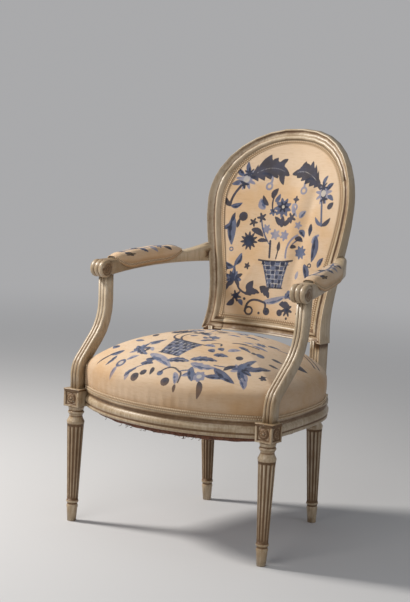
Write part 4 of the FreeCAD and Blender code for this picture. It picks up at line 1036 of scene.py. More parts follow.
def back_edge(count=260):
    """The frame's outer edge on one side, from the bottom corner to the crest's middle: a
    cubic flare, a smooth step out to the widest point, and a superellipse over the top."""
    z = np.linspace(BACK_BOTTOM, WIDEST, count)
    t = (z - BACK_BOTTOM) / (WAIST - BACK_BOTTOM)
    flare = 2 * t ** 3 - 3 * t ** 2 + 1 - 1.6 * (t ** 3 - 2 * t ** 2 + t)
    widening = (HALF_WIDEST - HALF_WAIST) * smooth_step(WAIST, WIDEST, z)
    x = HALF_WAIST + np.where(z < WAIST, 7.2 * flare, widening)
    turn = np.linspace(0, math.pi / 2, count)[1:]
    arch_x = HALF_WIDEST * np.clip(np.cos(turn), 0, 1) ** ARCH_POWER
    arch_z = WIDEST + (BACK_BOTTOM + BACK_HEIGHT - WIDEST) * np.sin(turn)
    return np.concatenate([x, arch_x]), np.concatenate([z, arch_z])


print("back: rake", round(math.degrees(math.atan(RAKE)), 1), "degrees")

# %% [markdown]
# The cover fills an opening, whose edge lies a set way inside the frame's. It is kept as
# a reach about one centre for every angle, like the seat's, so the same square-disc grid
# serves.

# %% Back opening
BACK_CENTRE = 690.0


def opening(inset):
    """Angle and reach, about the back's centre, of the opening's edge moved in by inset."""
    x, z = back_edge()
    dx, dz = np.gradient(x), np.gradient(z)
    size = np.hypot(dx, dz)
    x, z = x - inset * dz / size, z + inset * dx / size
    floor = BACK_BOTTOM + inset
    keep = (z > floor) & (x > 0)
    x, z = x[keep], z[keep]
    corner = np.linspace(0.0, x[0], 60)[:-1]
    x = np.concatenate([corner, x])
    z = np.concatenate([np.full(len(corner), floor), z]) - BACK_CENTRE
    angle = np.arctan2(z, x)
    angle = np.concatenate([angle, math.pi - angle])
    angle = np.where(angle > math.pi, angle - 2 * math.pi, angle)
    return all_round(angle, np.tile(np.hypot(x, z), 2))


def back_grid(count, inset):
    """Width and height on a square-disc grid that fills the opening, and the share out."""
    share, way = square_disc(count)
    out = share * np.interp(way, *opening(inset))
    return out * np.cos(way), BACK_CENTRE + out * np.sin(way), share


def back_swell(x, z, share):
    """The pad's crown: none at top and bottom, none at the sides, fullest in the middle."""
    u = np.clip((z - 453.9) / 429.2, 0, 1)
    return 17.0 * (1 - abs(2 * u - 1) ** 3) * (1 - share ** 2.4)


print("the pad is fullest", round(float(back_swell(0.0, 668.5, 0.0)), 1), "mm before its edge")

# %% [markdown]
# The old cover shows soft ripples: a shallow hollow runs down the right of the vase, where
# the stuffing has parted, and the edge dips under its braid. Both are heights added to the
# crown, because a tight cloth is set by what fills it.

# %% Back cover
BACK_INSET = 28.2
BACK_GRID = 190
REBATE_FLOOR = 8.6


def ripples(x, z, share):
    """A valley 4.2 mm deep beside a ridge 2.8 mm high, both Gaussian, over slow waves."""
    fold = np.exp(-((x - 62 - 0.12 * (z - 650)) / 15) ** 2) * smooth_step(480, 560, z)
    fold = fold * smooth_step(840, 760, z)
    rise = np.exp(-((x - 28 - 0.10 * (z - 650)) / 17) ** 2) * smooth_step(500, 580, z)
    rise = rise * smooth_step(850, 780, z)
    soft = np.sin(x / 31 + z / 47) * np.sin(z / 38 - 0.7)
    return (soft * 1.1 - fold * 4.2 + rise * 2.8) * smooth_step(1.0, 0.85, share)


def pad_front(x, z, share, depth):
    """The pad's front, swollen and rippled from a depth behind the frame's face."""
    return back_face(x, z) + depth - back_swell(x, z, share) - ripples(x, z, share)


back_x, back_z, share = back_grid(BACK_GRID, BACK_INSET)
y = pad_front(back_x, back_z, share, 3.0) - 1.6 * (1 - share ** 10) + 1.6
back_cover = make_piece("back_cover_cloth", metres(back_x, y, back_z),
                        grid_faces(BACK_GRID, BACK_GRID), cover_finish,
                        np.stack([back_x, back_z], axis=-1) / 1000)
# Painted shade along the edge, where the cloth goes into the frame.
keep_number(back_cover.data, "darkening", smooth_step(0.9, 1.0, share) * 0.6)
thicken(back_cover, 0.0012)
settle(back_cover, "cover_cloth", "back_cover")
print("back cover:", len(back_cover.data.polygons), "quads")

# %% [markdown]
# The back's stuffing is thin at the edges and full in the middle, and lies flat against its
# base cloth. So it is two grids, front and rear, joined round their rims by one row of
# quads.

# %% Back stuffing
count = 60
x, z, share = back_grid(count, 30.0)
rear = back_face(x, z) + REBATE_FLOOR
front = np.minimum(pad_front(x, z, share, 5.2), rear - 0.4)
hair = np.vstack([metres(x, front, z).reshape(-1, 3), metres(x, rear, z).reshape(-1, 3)])
ring, sheet = grid_rim(count), grid_faces(count, count)
after = np.roll(ring, -1)
wall = np.stack([after, ring, ring + count ** 2, after + count ** 2], axis=1)
back_hair = make_piece("back_hair", hair, np.vstack([sheet, sheet[:, ::-1] + count ** 2, wall]),
                       stuffing_finish)
settle(back_hair, "stuffing", "back_stuffing")
print("back stuffing:", len(back_hair.data.polygons), "faces")

# %% [markdown]
# A plain cloth closes the back from behind. It is cut as an arch 345 mm wide and 450 high,
# pulled tight over the rear rebate and tacked, so it follows the frame's hollow with almost
# no sag. Its area is measured on the mesh.

# %% Cloth behind the back
def cloth_area(points, faces):
    """The area of the quads, as two triangles each, half of |(b - a) x (c - a)|."""
    a, b, c, e = (points.reshape(-1, 3)[faces[:, i]] for i in range(4))
    halves = np.cross(b - a, c - a), np.cross(c - a, e - a)
    return round(float(sum(np.linalg.norm(h, axis=1).sum() for h in halves) / 2), 4)


count = 110
x, z, share = back_grid(count, BACK_INSET)
y = back_face(x, z) + frame_depth(z) - 0.6 - 1.3 * np.clip(share, 0, 1) ** 8
y = y - 0.5 * np.sin(x / 29) * np.sin(z / 41) * (1 - share)
faces = grid_faces(count, count)[:, ::-1]
outside = make_piece("back_outside_cloth", metres(x, y, z), faces, plain_finish,
                     np.stack([x, z], axis=-1) / 1000)
# Painted shade along the edge, against the frame's rebate.
keep_number(outside.data, "darkening", smooth_step(0.88, 1.0, share) * 0.9)
thicken(outside, 0.001)
settle(outside, "cover_cloth", "back_outside_cover")
back_area = cloth_area(metres(x, y, z), faces)
print("cloth behind the back:", back_area, "square metres")

# %% [markdown]
# The back's design: two toothed leaves arch over a flowering vase, tassels hang at the
# sides, and a band of sprigs runs along the foot. Its rows are in width and height.

# %% Draw on the back
BACK_DESIGN = {
    "vase": ((-40, 600, 38, 597, -17, 536, 24, 536, 6, 5),),
    "leaf dark": ((-78, 812, -66, 846, 13, 2), (-40, 824, -22, 838, 10),
        (-30, 812, -18, 776, 12, -3), (28, 812, 30, 836, 11, 2), (46, 808, 50, 838, 11, -2),
        (62, 800, 88, 772, 12, 3), (-141, 718, -155, 738, 9, 3), (113, 692, 136, 713, 9, -3),
        (122, 732, 138, 748, 11), (-132, 682, -126, 704, 8), (-116, 668, -112, 692, 7),
        (82, 694, 82, 664, 10), (-40, 744, -28, 768, 12, 2), (-46, 726, -64, 750, 9, 3),
        (-1, 678, -2, 706, 11), (-6, 682, -24, 702, 10, -2), (4, 682, 24, 698, 10, 2),
        (-78, 668, -44, 652, 12, 4), (-58, 642, -30, 643, 8, 2), (42, 656, 64, 650, 10, 3),
        (32, 634, 50, 636, 8, 2), (1, 622, 0, 646, 8), (-118, 540, -130, 516, 8, 3),
        (-72, 514, -34, 520, 16, 6, 3), (-66, 520, -54, 548, 14, 2),
        (-36, 536, -8, 510, 17, 4, 3), (-98, 500, -116, 484, 11, 3),
        (22, 500, 56, 496, 13, 3, 3), (92, 560, 114, 568, 9, 2), (76, 508, 104, 500, 13, 3, 3)),
    "leaf dark light": ((-104, 790, -8, 800, 44, 19, 6), (80, 782, -2, 804, 40, -17, 6)),
    "leaf mid": ((-122, 792, -140, 810, 10, 2), (-108, 800, -118, 826, 9, 3),
        (-128, 780, -148, 770, 9, 2), (110, 774, 128, 792, 10, 2), (96, 782, 106, 808, 9, 3),
        (116, 762, 136, 752, 9, 2), (-140, 718, -112, 728, 10, -3), (112, 692, 90, 712, 7, 3),
        (-152, 664, -128, 684, 10, -4), (-30, 736, -20, 756, 9, -2), (50, 676, 66, 660, 11, 3),
        (-108, 580, -94, 610, 12, -3), (-110, 574, -142, 588, 12, 4), (-88, 500, -76, 486, 9, 2),
        (36, 514, 60, 538, 13, 2, 3), (44, 520, 70, 514, 11, 2), (80, 600, 94, 560, 13, 3),
        (98, 492, 122, 480, 11, 2), (118, 596, 132, 620, 10, 2)),
    "leaf mid pale": ((-128, 694, -124, 626, 18, -3, 0), (103, 668, 99, 606, 16, 3, 0)),
    "leaf pale": ((92, 650, 112, 672, 9, 2), (-54, 716, -68, 742, 15, 3),
        (20, 736, 40, 706, 9, -4), (46, 704, 60, 722, 11, 2), (-24, 500, 40, 522, 12, -4),
        (60, 562, 66, 584, 8)),
    "stem dark": ((-126, 764, -138, 742, -142, 720, 5), (-30, 712, -36, 730, -34, 752, 3),
        (-24, 644, -22, 628, -20, 606, 4.5), (2, 632, 0, 618, -2, 604, 2.6),
        (-96, 540, -80, 520, -56, 516, 4), (-68, 474, -56, 500, -24, 500, 4.4),
        (-24, 500, -16, 496, -16, 484, 4.4)),
    "stem mid": ((102, 746, 108, 716, 113, 692, 4.5), (-56, 690, -44, 660, -24, 636, 2.8),
        (34, 634, 44, 648, 58, 656, 2.6), (-96, 606, -108, 576, -102, 545, 4),
        (94, 562, 84, 540, 64, 528, 3.4)),
    "stem pale": ((-76, 800, -54, 796, -50, 780, 4.5), (62, 796, 46, 794, 42, 778, 4.5),
        (26, 610, 28, 642, 48, 664, 4)),
    "flower dark": ((-110, 798, 13, 7, 0.7), (-118, 772, 11, 5, 0.6), (98, 780, 13, 7, 0.7),
        (106, 754, 11, 5, 0.6), (-57, 697, 11, 5, 0.6, 0.5), (-76, 684, 10, 5, 0.6),
        (24, 703, 12, 5, 0.6, 0.3), (27, 746, 8, 4, 0.5), (-129, 570, 6, 4, 0.5),
        (-75, 581, 8, 5, 0.5), (82, 486, 9, 5, 0.5, 0.3)),
    "flower dark light": ((-6, 726, 13, 6, 0.6, 0, 0.3),),
    "flower dark mid": ((-80, 640, 20, 11, 0.4, 0.1, 0.62), (-94, 508, 13, 6, 0.6, 0.2, 0.5),
        (46, 489, 15, 7, 0.55, 0.2, 0.3)),
    "flower mid": ((-31, 712, 9, 5, 0.5), (-6, 724, 21, 9, 0.35, 0.2)),
    "flower mid pale": ((63, 625, 15, 8, 0.35, 0.2, 0.45),),
    "flower pale": ((-40, 671, 11, 6, 0.45), (-14, 660, 12, 6, 0.45, 0.2),
        (12, 660, 12, 6, 0.45, 0.6), (46, 687, 9, 5, 0.5)),
    "flower pale light": ((-114, 784, 23, 9, 0.5, 0.4, 0.34), (102, 766, 23, 9, 0.5, 0.4, 0.34)),
    "berry dark": ((-104, 696, 11), (-72, 503, 3.6), (-31, 473, 3.4), (26, 480, 8),
        (47, 469, 3.4)),
    "berry dark mid": ((-11, 479, 9),),
    "berry mid": ((82, 680, 7),),
    "berry pale": ((-80, 640, 5),),
    "ring dark": ((95, 598, 4.2, 3), (-58, 476, 9, 4.5)),
    "ring mid": ((-123, 617, 4.2, 3),),
    "ring pale": ((-53, 771, 7, 5), (43, 768, 7, 5), (27, 728, 7, 5)),
    "spray dark mid": ((-102, 548, 24, 0.2, 4),),
    "spray mid dark mid": ((-104, 548, 28, 2.8, 5),),
    "spray mid dark pale": ((104, 536, 26, 0.6, 5),),
}

drawing = Drawing(back_x, back_z, BACK_DESIGN)
print("back pattern: darkest ink covers", drawing.keep(back_cover.data))

# %% [markdown]
# ## Arm pads
# Each pad is a stuffed saddle on the arm, hanging a little over its sides. Its section is
# narrow and low at both ends and full behind the middle.

# %% Arm line
def turning_arc(start, heading, end):
    """Centre, radius and angles of the arc that leaves start at heading and meets end."""
    dx, dy = end[0] - start[0], end[1] - start[1]
    sweep = 2 * (math.atan2(-dx, dy) - heading)
    radius = math.hypot(dx, dy) / (2 * math.sin(sweep / 2))
    centre = (start[0] - radius * math.cos(heading), start[1] - radius * math.sin(heading))
    return centre, radius, heading, sweep


ARM_CENTRE, ARM_RADIUS, ARM_HEADING, ARM_SWEEP = turning_arc(
    (267.0, 83.0), math.radians(3.5), (184.0, 390.0))
ARM_LENGTH = ARM_SWEEP * ARM_RADIUS
PAD_START = 34.0
PAD_LENGTH = 206.0


def arm_angle(t):
    """The angle on the arm's arc at a share t of its length."""
    return ARM_HEADING + ARM_SWEEP * t


def arm_point(t, across):
    """The place in plan at a share t along the arm's arc and a distance across it."""
    reach = ARM_RADIUS + across
    return (ARM_CENTRE[0] + reach * np.cos(arm_angle(t)),
            ARM_CENTRE[1] + reach * np.sin(arm_angle(t)))


def arm_low(t):
    """The arm's underside, rising by 28 (1 - (1 - t)^2) mm."""
    return 556.0 + 28.0 * (1 - (1 - t) ** 2)


def arm_high(t):
    """The arm's top, rising by 14 t mm and flaring up at the rear."""
    return 594.0 + 14.0 * t + 19.0 * (np.maximum(t - 0.62, 0) / 0.38) ** 2


print("arm length:", round(ARM_LENGTH, 1), "mm")

# %% [markdown]
# The pad's width, its rim and its crest are read off at a few stations along it, because an
# upholsterer shapes it by eye there, and between the stations they are eased.

# %% Pad surface
PAD_PLACE = (0.0, 0.04, 0.1, 0.21, 0.48, 0.77, 0.88, 0.96, 1.0)
PAD_WIDTH = (0.5, 0.78, 0.92, 1.0, 1.0, 1.0, 0.94, 0.75, 0.5)
PAD_RIM = (1.02, 0.77, 0.5, 0.2, 0.2, 0.24, 0.54, 0.87, 1.05)
PAD_CREST = (0.2, 0.42, 0.58, 0.72, 0.93, 1.0, 0.9, 0.65, 0.37)
PAD_CROWN = 19.0
PAD_ROWS, PAD_COLUMNS = 150, 64


def eased(values, at):
    """Straight lines between the stations, softened by averaging over a short way."""
    around = [np.interp(np.clip(at + shift, 0, 1), PAD_PLACE, values)
              for shift in np.linspace(-0.035, 0.035, 9)]
    return np.mean(around, axis=0)


def pad_surface(side, rows, columns, shrink, foot=False):
    """The pad's surface: along the arm by an arch across it, that stands on its rim. The
    arch is w sin(a)^0.72 wide and h cos(a)^0.62 high."""
    along, over = np.meshgrid(np.linspace(0, 1, rows), np.linspace(-1, 1, columns),
                              indexing="ij")
    t = (PAD_START + PAD_LENGTH * along) / ARM_LENGTH
    width = (18.0 - 4.0 * t + 4.0) * eased(PAD_WIDTH, along) - shrink
    top = arm_high(t)
    crest = top + PAD_CROWN * eased(PAD_CREST, along) - shrink
    rim = arm_low(t) + (top - arm_low(t)) * eased(PAD_RIM, along)
    rim = top + 0.6 if foot else np.minimum(rim, crest - 2.5)
    turn = over * math.pi / 2
    across = width * np.sign(np.sin(turn)) * abs(np.sin(turn)) ** 0.72
    height = rim + (crest - rim) * np.cos(turn).clip(0) ** 0.62
    swell = 0.8 * np.sin(along * 23) * np.cos(over * 3.0)
    x, y = arm_point(t, across)
    flat = np.stack([over * 38.0, along * PAD_LENGTH], axis=-1)
    return side * x, y, height + swell * np.cos(turn), flat


PAD_DESIGN = {
    "leaf dark": ((12, 30, 24, 54, 9, 2), (-6, 92, -24, 110, 9, 2), (8, 152, 24, 172, 9, 2)),
    "leaf mid": ((4, 80, 22, 100, 10, 2, 3), (-6, 152, -22, 174, 10, 2),
        (-2, 172, 10, 196, 10, 2)),
    "leaf mid pale": ((-16, 14, 10, 36, 11, 3, 3), (-4, 112, -26, 134, 11, 3, 3)),
    "leaf pale": ((-22, 40, -6, 62, 9, 2), (6, 112, 24, 130, 9, 2)),
    "stem mid": ((-4, 36, 4, 92, -2, 172, 2.6),),
    "flower dark mid": ((-4, 72, 10, 6, 0.5, 0.2, 0.45),),
    "flower mid pale": ((4, 142, 10, 6, 0.5, 0, 0.4),),
}
print("pad design:", sum(len(rows) for rows in PAD_DESIGN.values()), "motifs")

# %% [markdown]
# Each arm gets a cover and a stuffing. The second pad is the first one mirrored, so its
# faces are listed the other way round.

# %% Make the pads
for side, word in ((1, "left"), (-1, "right")):
    x, y, z, flat = pad_surface(side, PAD_ROWS, PAD_COLUMNS, 0.0)
    pad = make_piece("arm_pad_cloth_" + word, metres(x, y, z),
                     grid_faces(PAD_ROWS, PAD_COLUMNS)[:, ::-side], cover_finish, flat / 1000)
    # Painted shade down the pad's hanging sides, towards the rim.
    keep_number(pad.data, "darkening", smooth_step(26, 38, abs(flat[..., 0])) * 0.9)
    Drawing(flat[..., 0] * side, flat[..., 1], PAD_DESIGN).keep(pad.data)
    thicken(pad, 0.0011)
    settle(pad, "cover_cloth", "arm_pad_cover_" + word)
    rows, arch = 40, 24
    x, y, z, flat = pad_surface(side, rows, arch, 2.0, foot=True)
    under = np.repeat(z[:, :1], arch, axis=1)
    body = np.concatenate([metres(x, y, z), metres(x[:, ::-1], y[:, ::-1], under)[:, 1:-1]],
                          axis=1)
    around = body.shape[1]
    faces = grid_faces(rows, around, closed=True)[:, ::-side].tolist()
    faces += [list(range(around))[::side],
              list(range((rows - 1) * around, rows * around))[::-side]]
    hair = make_piece("arm_pad_hair_" + word, body, faces, stuffing_finish)
    settle(hair, "stuffing", "arm_pad_stuffing_" + word)
    print("arm pad", word, "has", len(pad.data.polygons), "quads")

# %% [markdown]
# ## Beaded braid
# A narrow braid hides the nails wherever cloth meets wood. It is a flat band with a raised
# cord along each edge and a row of small beads, offset from one edge to the other. The band
# is a ribbon carried along a path, and the beads are waves in its thickness.

# %% Braid ribbon
BRAID_LIFT = 0.9


def unit(vectors):
    """Vectors divided by their lengths."""
    return vectors / (np.linalg.norm(vectors, axis=-1, keepdims=True) + 1e-12)


def ribbon(path, side, out, width, pitch, thick):
    """A closed strip along path: side is the way across, out the way off the surface. Beads
    are sin(2 pi s / pitch)^0.8 along it and Gaussian across."""
    step = np.linalg.norm(np.diff(path, axis=0), axis=1)
    length = np.concatenate([[0], np.cumsum(step)])
    even = np.linspace(0, length[-1], int(length[-1] / pitch) * 6)
    path, side, out = (
        np.stack([np.interp(even, length, values[:, i]) for i in range(3)], axis=1)[:, None]
        for values in (path, side, out))
    across = np.linspace(-0.5, 0.5, 9)
    phase = 2 * math.pi * even[:, None] / pitch
    rows = np.where(across < 0, 0.0, math.pi)[None, :]
    bead = np.clip(np.sin(phase + rows), 0, 1) ** 0.8 * np.exp(-((abs(across) - 0.27) / 0.12) ** 2)
    cord = np.exp(-((abs(across) - 0.46) / 0.05) ** 2) * (0.6 + 0.3 * np.sin(2 * phase))
    top = thick * (0.35 + 0.75 * bead + 0.3 * cord)
    top[:, [0, -1]] = thick * 0.12
    wavy = (width * (1 + 0.05 * np.sin(phase)) * across[None, :])[..., None]
    section = np.concatenate([path + side * wavy + out * top[..., None],
                              path + side * wavy[:, ::-1] - out * 0.15], axis=1)
    # hollow is 1 in the dips between beads and on the underside, where the finish paints shade.
    hollow = np.concatenate([1 - np.clip(1.4 * bead + 0.6 * cord, 0, 1),
                             np.ones_like(bead)], axis=1)
    return section, hollow


print("the braid lies", BRAID_LIFT, "mm off the cloth")

# %% [markdown]
# A length of braid is a tube of such sections, with its two ends closed. Several
# lengths can be one piece, and the loose threads will use the same tubes. The hollows between
# the beads and the braid's underside are stored, and the finish paints shade into them.

# %% Tubes and braid
def tubes(name, sections, material):
    """One piece from several tubes, each given as rings of points, with closed ends."""
    points, faces, base = [], [], 0
    for section in sections:
        rows, columns = section.shape[:2]
        faces += (grid_faces(rows, columns, closed=True) + base).tolist()
        last = base + (rows - 1) * columns
        faces += [list(range(base, base + columns))[::-1], list(range(last, last + columns))]
        points.append(section.reshape(-1, 3))
        base += rows * columns
    piece = make_piece(name, metres(*np.vstack(points).T), faces, material)
    work = bmesh.new()
    work.from_mesh(piece.data)
    bmesh.ops.recalc_face_normals(work, faces=work.faces)
    work.to_mesh(piece.data)
    work.free()
    return piece


def braid(name, strips, *replaced):
    """A piece of braid from its ribbons, which keeps where its hollows are for painted shade."""
    piece = tubes(name, [section for section, hollow in strips], braid_finish)
    keep_number(piece.data, "hollow", np.concatenate([hollow.ravel() for _, hollow in strips]))
    settle(piece, "braid", *replaced)
    print(name, "has", len(piece.data.polygons), "faces")


print("one piece can hold several lengths")

# %% [markdown]
# Round the seat the braid runs in four lengths, because the arm supports and the rear posts
# interrupt it, and a short upright length covers the cut in the cloth beside each support.
# The right side's lengths mirror the left's.

# %% Braid round the seat
BRAID_HEIGHT = RAIL_TOP + 5.0
SEAT_BRAID = (9.4, 5.2, 1.9)
UPRIGHT_BRAID = (6.6, 4.6, 1.2)
CUT = 240.6
CUT_ROWS = 60


def direction(x, y):
    """The angle in which a point lies from the seat's centre."""
    return math.atan2(y - SEAT_CENTRE, x)


def seat_path(first, last, count=400):
    """A path round the seat's wall between two points, just off its surface."""
    way = np.linspace(direction(*first), direction(*last), count)
    height = np.full(count, BRAID_HEIGHT)
    out = np.interp(way, *seat_outline(SEAT_INSET)) + wall_bulge(height) + BRAID_LIFT
    x, y = clear_wood(out * np.cos(way), SEAT_CENTRE + out * np.sin(way), height, COVER_GAP)
    path = np.stack([x, y, height], axis=1)
    up = np.tile([0.0, 0.0, 1.0], (count, 1))
    return path, up, unit(np.cross(unit(np.gradient(path, axis=0)), up))


strips = [ribbon(*seat_path((-244, 12.5), (244, 12.5)), *SEAT_BRAID)]
for sign in (1, -1):
    run = [way * (sign, 1, 1) for way in seat_path((253, 22), (150, 354))]
    strips.append(ribbon(*run, *SEAT_BRAID))
    heights = np.linspace(RAIL_TOP + 9, RAIL_TOP + 56, CUT_ROWS)
    reach = np.interp(direction(sign * 241, 11), *seat_outline(SEAT_INSET)) + 0.1
    setback = SEAT_CENTRE - math.sqrt(reach ** 2 - CUT ** 2) - 1.0 - wall_bulge(heights)
    edge = np.stack([np.full(CUT_ROWS, sign * CUT), setback, heights], axis=1)
    across = np.tile([1.0, 0.28 * sign, 0.0], (CUT_ROWS, 1))
    outward = np.tile([0.27 * sign, -0.96, 0.0], (CUT_ROWS, 1))
    strips.append(ribbon(edge, unit(across), outward, *UPRIGHT_BRAID))
strips.append(ribbon(*seat_path((134, 391), (-134, 391)), *SEAT_BRAID))
braid("seat_braid", strips, "seat_gimp")

# %% [markdown]
# On the back one length runs all the way round the opening, in front and behind, with its
# ends meeting at the foot. The rear one is narrower and lower.

# %% Braid round the back
def back_path(inset, rear=False):
    """A closed path round the opening, on the cover's front or on the cloth behind."""
    way = np.linspace(-math.pi / 2, 3 * math.pi / 2, 1400)
    angle = (way + math.pi) % (2 * math.pi) - math.pi
    wide = np.interp(angle, *opening(inset))
    x, z = wide * np.cos(way), BACK_CENTRE + wide * np.sin(way)
    share = wide / np.interp(angle, *opening(BACK_INSET))
    if rear:
        y = back_face(x, z) + frame_depth(z) - 1.9
    else:
        y = back_face(x, z) + 3.0 - back_swell(x, z, share) + BRAID_LIFT
    out = np.tile([0.0, 1.0 if rear else -1.0, 0.0], (len(x), 1))
    path = np.stack([x, y, z], axis=1)
    return path, unit(np.cross(out, unit(np.gradient(path, axis=0)))), out


braid("back_braid", [ribbon(*back_path(33.4), 10.0, 5.2, 2.0)], "back_gimp")
braid("back_outside_braid", [ribbon(*back_path(32.2, rear=True), 7.6, 4.8, 0.9)])

# %% [markdown]
# The pads' braid is narrow and follows both rims of each pad, from the scroll to the rear.
# Its path is a column of the pad's own grid, a little above the rim.

# %% Braid along the arm pads' rims
for sign, word in ((1, "left"), (-1, "right")):
    strips = []
    rows = 160
    x, y, z, flat = pad_surface(sign, rows, PAD_COLUMNS, 0.0)
    angle = arm_angle((PAD_START + np.linspace(0, PAD_LENGTH, rows)) / ARM_LENGTH)
    for column, way in ((1, -1.0), (-2, 1.0)):
        path = np.stack([x[:, column], y[:, column], z[:, column] + 1.4], axis=1)
        forward = unit(np.gradient(path, axis=0))
        out = np.stack([sign * way * np.cos(angle), way * np.sin(angle), 0 * angle], axis=1)
        strips.append(ribbon(path + out * 0.9, unit(np.cross(out, forward)), out,
                             5.6, 4.2, 1.3))
    braid("arm_pad_braid_" + word, strips)

# %% [markdown]
# ## The cloth under the seat
# A dark red cloth is tacked under the rails. It has sagged and frayed, and loose threads
# hang from its front edge. The threads are thin tubes whose paths wander down from the edge.

# %% Sagging cloth
FRAME_EDGE = 266.0
LEG_CLEARANCE = 24.5
LEGS = ((257.5, 0.0), (-257.5, 0.0), (149.0, 374.0), (-149.0, 374.0))
count = 120
share, way = square_disc(count)
reach = share * np.interp(way, *seat_outline(14.0))
x, y = reach * np.cos(way), SEAT_CENTRE + reach * np.sin(way)
for leg_x, leg_y in LEGS:
    push = np.maximum(LEG_CLEARANCE - np.hypot(x - leg_x, y - leg_y), 0) * 0.75
    x, y = x - np.sign(leg_x) * push, y + np.sign(SEAT_CENTRE - leg_y) * push
creases = np.sin(x / 21 + 2 * np.sin(y / 60)) * 1.2 + np.sin(y / 17 + x / 40) * 0.8
steep = 3.0 + 13.0 * smooth_step(-0.2, -0.8, np.sin(way))
z = FRAME_EDGE - 17.0 * (1 - share ** steep) + creases * (1 - share ** 3)
z = z - 1.6 * smooth_step(0.8, 0.97, share) * np.clip(np.sin(way * 23), 0, 1)
z = np.clip(z, 244.4, FRAME_EDGE + 0.2)
faces = grid_faces(count, count)[:, ::-1]
bottom = make_piece("bottom_cloth_sagging", metres(x, y, z), faces, bottom_finish,
                    np.stack([x, y], axis=-1) / 1000)
thicken(bottom, 0.0008)
settle(bottom, "bottom_cloth", "seat_bottom_cloth")
bottom_area = cloth_area(metres(x, y, z), faces)
print("bottom cloth:", bottom_area, "square metres")

# %% [markdown]
# The frayed edge drops threads, most of them right of the middle. Each is a tube of a few
# sides along a path that falls, drifts and curls.

# %% Loose threads
STEPS, SIDES = 12, 5


def thread(start, drop, drift, curl):
    """Points down a thread: it falls by drop, drifts sideways and curls back on itself."""
    t = np.linspace(0, 1, STEPS)
    swing = np.sin(t * curl) * 5.0 * t
    return np.stack([start[0] + drift * t + swing, start[1] + 4 * t * np.cos(curl * t),
                     start[2] - drop * t * (1.6 - 0.6 * t)], axis=1)


def rings_about(path, radius):
    """Rings of a few points about a path, with the first and last drawn to a point."""
    forward = unit(np.gradient(path, axis=0))
    across = unit(np.cross(forward, np.array([0.3, 0.9, 0.2])))
    up = np.cross(forward, across)
    turn = (np.arange(SIDES) * 2 * math.pi / SIDES)[None, :, None]
    size = radius * np.sin(np.linspace(0.15, math.pi - 0.15, len(path))) ** 0.3
    ring = across[:, None] * np.cos(turn) + up[:, None] * np.sin(turn)
    return path[:, None] + ring * size[:, None, None]


rings = []
for i in range(34):
    where = -1.22 + chance.normal() * 0.3 if i < 26 else -1.45 + chance.uniform(-1.0, 0.8)
    edge = float(np.interp(where, *seat_outline(17.0)))
    start = (edge * math.cos(where), SEAT_CENTRE + edge * math.sin(where), 262.0)
    if abs(start[0]) > 215:
        continue
    path = thread(start, chance.uniform(3, 11), chance.normal() * 6, chance.uniform(1, 7))
    rings.append(rings_about(path, chance.uniform(0.3, 0.6)))
threads = tubes("bottom_cloth_threads", rings, thread_finish)
settle(threads, "bottom_cloth")
print("loose threads:", len(rings))

# %% [markdown]
# ## Floor, light and camera
# A plain pale floor runs to a sky of the same grey. One broad lamp stands high on the left
# of the camera, and a weaker one fills the other side, so the mouldings read without glare.

# %% Floor
PALE = (0.56, 0.56, 0.57)
FAR = (0.40, 0.40, 0.408, 1.0)
DISC, DISC_SIDES = 40, 64
floor_finish = Finish("floor")
floor_material = floor_finish.done(PALE, 0.9)
distance = floor_finish.node("ShaderNodeVectorMath", {"operation": "LENGTH"},
                             {0: floor_finish.place}, "Value")
glow = floor_finish.node("ShaderNodeEmission", {}, {"Color": FAR})
blend = floor_finish.node("ShaderNodeMixShader", {}, {0: distance.step(1.0, 4.6)})
parts, links = floor_material.node_tree.nodes, floor_material.node_tree.links
links.new(parts["Principled BSDF"].outputs[0], blend.socket.node.inputs[1])
links.new(glow.socket, blend.socket.node.inputs[2])
links.new(blend.socket, parts["Material Output"].inputs["Surface"])
turn = np.arange(DISC_SIDES) * 2 * math.pi / DISC_SIDES
rim = np.stack([DISC * np.cos(turn), DISC * np.sin(turn), 0 * turn - 0.0005], axis=1)
floor = make_piece("floor", rim, [list(range(DISC_SIDES))], floor_material)
print("the floor reaches", DISC, "m")

# %% [markdown]
# The camera sees the sky as the same grey as the floor's far edge. Everything else
# is lit by a cooler, dimmer sky, which fills the shadows a little.

# %% Sky
SKY_LIGHT = 0.26
world = bpy.data.worlds.new("studio")
bpy.context.scene.world = world
world.use_nodes = True
sky, link = world.node_tree.nodes, world.node_tree.links.new
sky.clear()
ray = sky.new("ShaderNodeLightPath")
fill = sky.new("ShaderNodeBackground")
shown = sky.new("ShaderNodeBackground")
either = sky.new("ShaderNodeMixShader")
result = sky.new("ShaderNodeOutputWorld")
fill.inputs["Color"].default_value = (0.93, 0.96, 1.0, 1.0)
fill.inputs["Strength"].default_value = SKY_LIGHT
shown.inputs["Color"].default_value = FAR
link(ray.outputs["Is Camera Ray"], either.inputs[0])
link(fill.outputs[0], either.inputs[1])
link(shown.outputs[0], either.inputs[2])
link(either.outputs[0], result.inputs["Surface"])
print("sky light:", SKY_LIGHT)

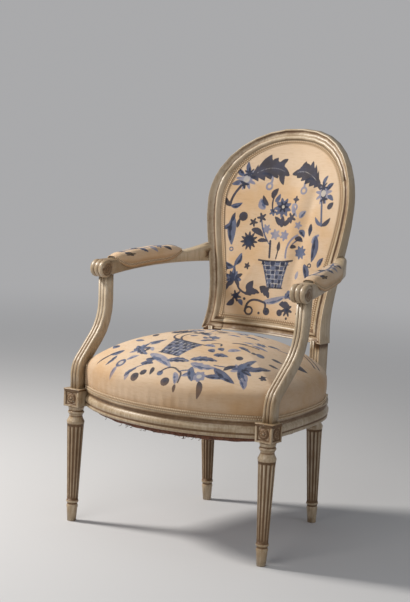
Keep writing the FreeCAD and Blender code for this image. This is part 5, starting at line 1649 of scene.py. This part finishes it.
# %% [markdown]
# The lamps are placed from the camera's side, not from the chair's, so that the light falls
# across the mouldings as seen. Their powers are kept low enough that pale cloth isn't
# bleached. The camera's place, three angles and lens were solved from the chair's feet,
# seat and back, and a turned set of axes puts a lamp or the camera in its place.

# %% Lamps and camera
EYE = np.array([2.0231, -3.0824, 0.9791])
YAW, PITCH, ROLL = 0.5963006, 0.1251545, 0.0511682
FOCAL, LONG_SIDE, SENSOR = 1635.98, 602, 36.0
ahead = np.array([-math.sin(YAW), math.cos(YAW), 0.0])
rightwards = np.array([math.cos(YAW), math.sin(YAW), 0.0])


def place_facing(thing, place, look, roll=0.0):
    """Stands a lamp or camera at place, facing along look and rolled about it."""
    side = unit(np.cross(look, [0, 0, 1.0]))
    up = np.cross(side, look)
    turn = np.eye(4)
    turn[:3, 0] = math.cos(roll) * side + math.sin(roll) * up
    turn[:3, 1] = math.cos(roll) * up - math.sin(roll) * side
    turn[:3, 2], turn[:3, 3] = -look, place
    thing.matrix_world = Matrix(turn.tolist())


def lamp(name, right, forward, height, size, power, tint):
    """A round soft lamp that faces the seat."""
    data = bpy.data.lights.new(name, "AREA")
    data.shape, data.size, data.energy, data.color = "DISK", size, power, tint
    place = right * rightwards + forward * ahead + (0, 0, height)
    place_facing(add_object(name, data), place, unit(np.array([0, 0, 0.5]) - place))


lamp("key", -1.95, 0.35, 2.0, 0.5, 76, (1.0, 0.96, 0.90))
lamp("fill", 2.3, -1.6, 1.5, 2.2, 9, (0.95, 0.97, 1.0))
lamp("front", -1.3, -2.2, 1.7, 1.6, 22, (1.0, 0.97, 0.93))

camera_data = bpy.data.cameras.new("camera")
camera_data.sensor_fit = "AUTO"
camera_data.sensor_width = SENSOR
camera_data.lens = FOCAL / LONG_SIDE * SENSOR
camera = add_object("camera", camera_data)
place_facing(camera, EYE, math.cos(PITCH) * ahead - (0, 0, math.sin(PITCH)), ROLL)
bpy.context.scene.camera = camera
bpy.context.scene.view_settings.view_transform = "Standard"
print("lens:", round(camera_data.lens, 2), "mm")
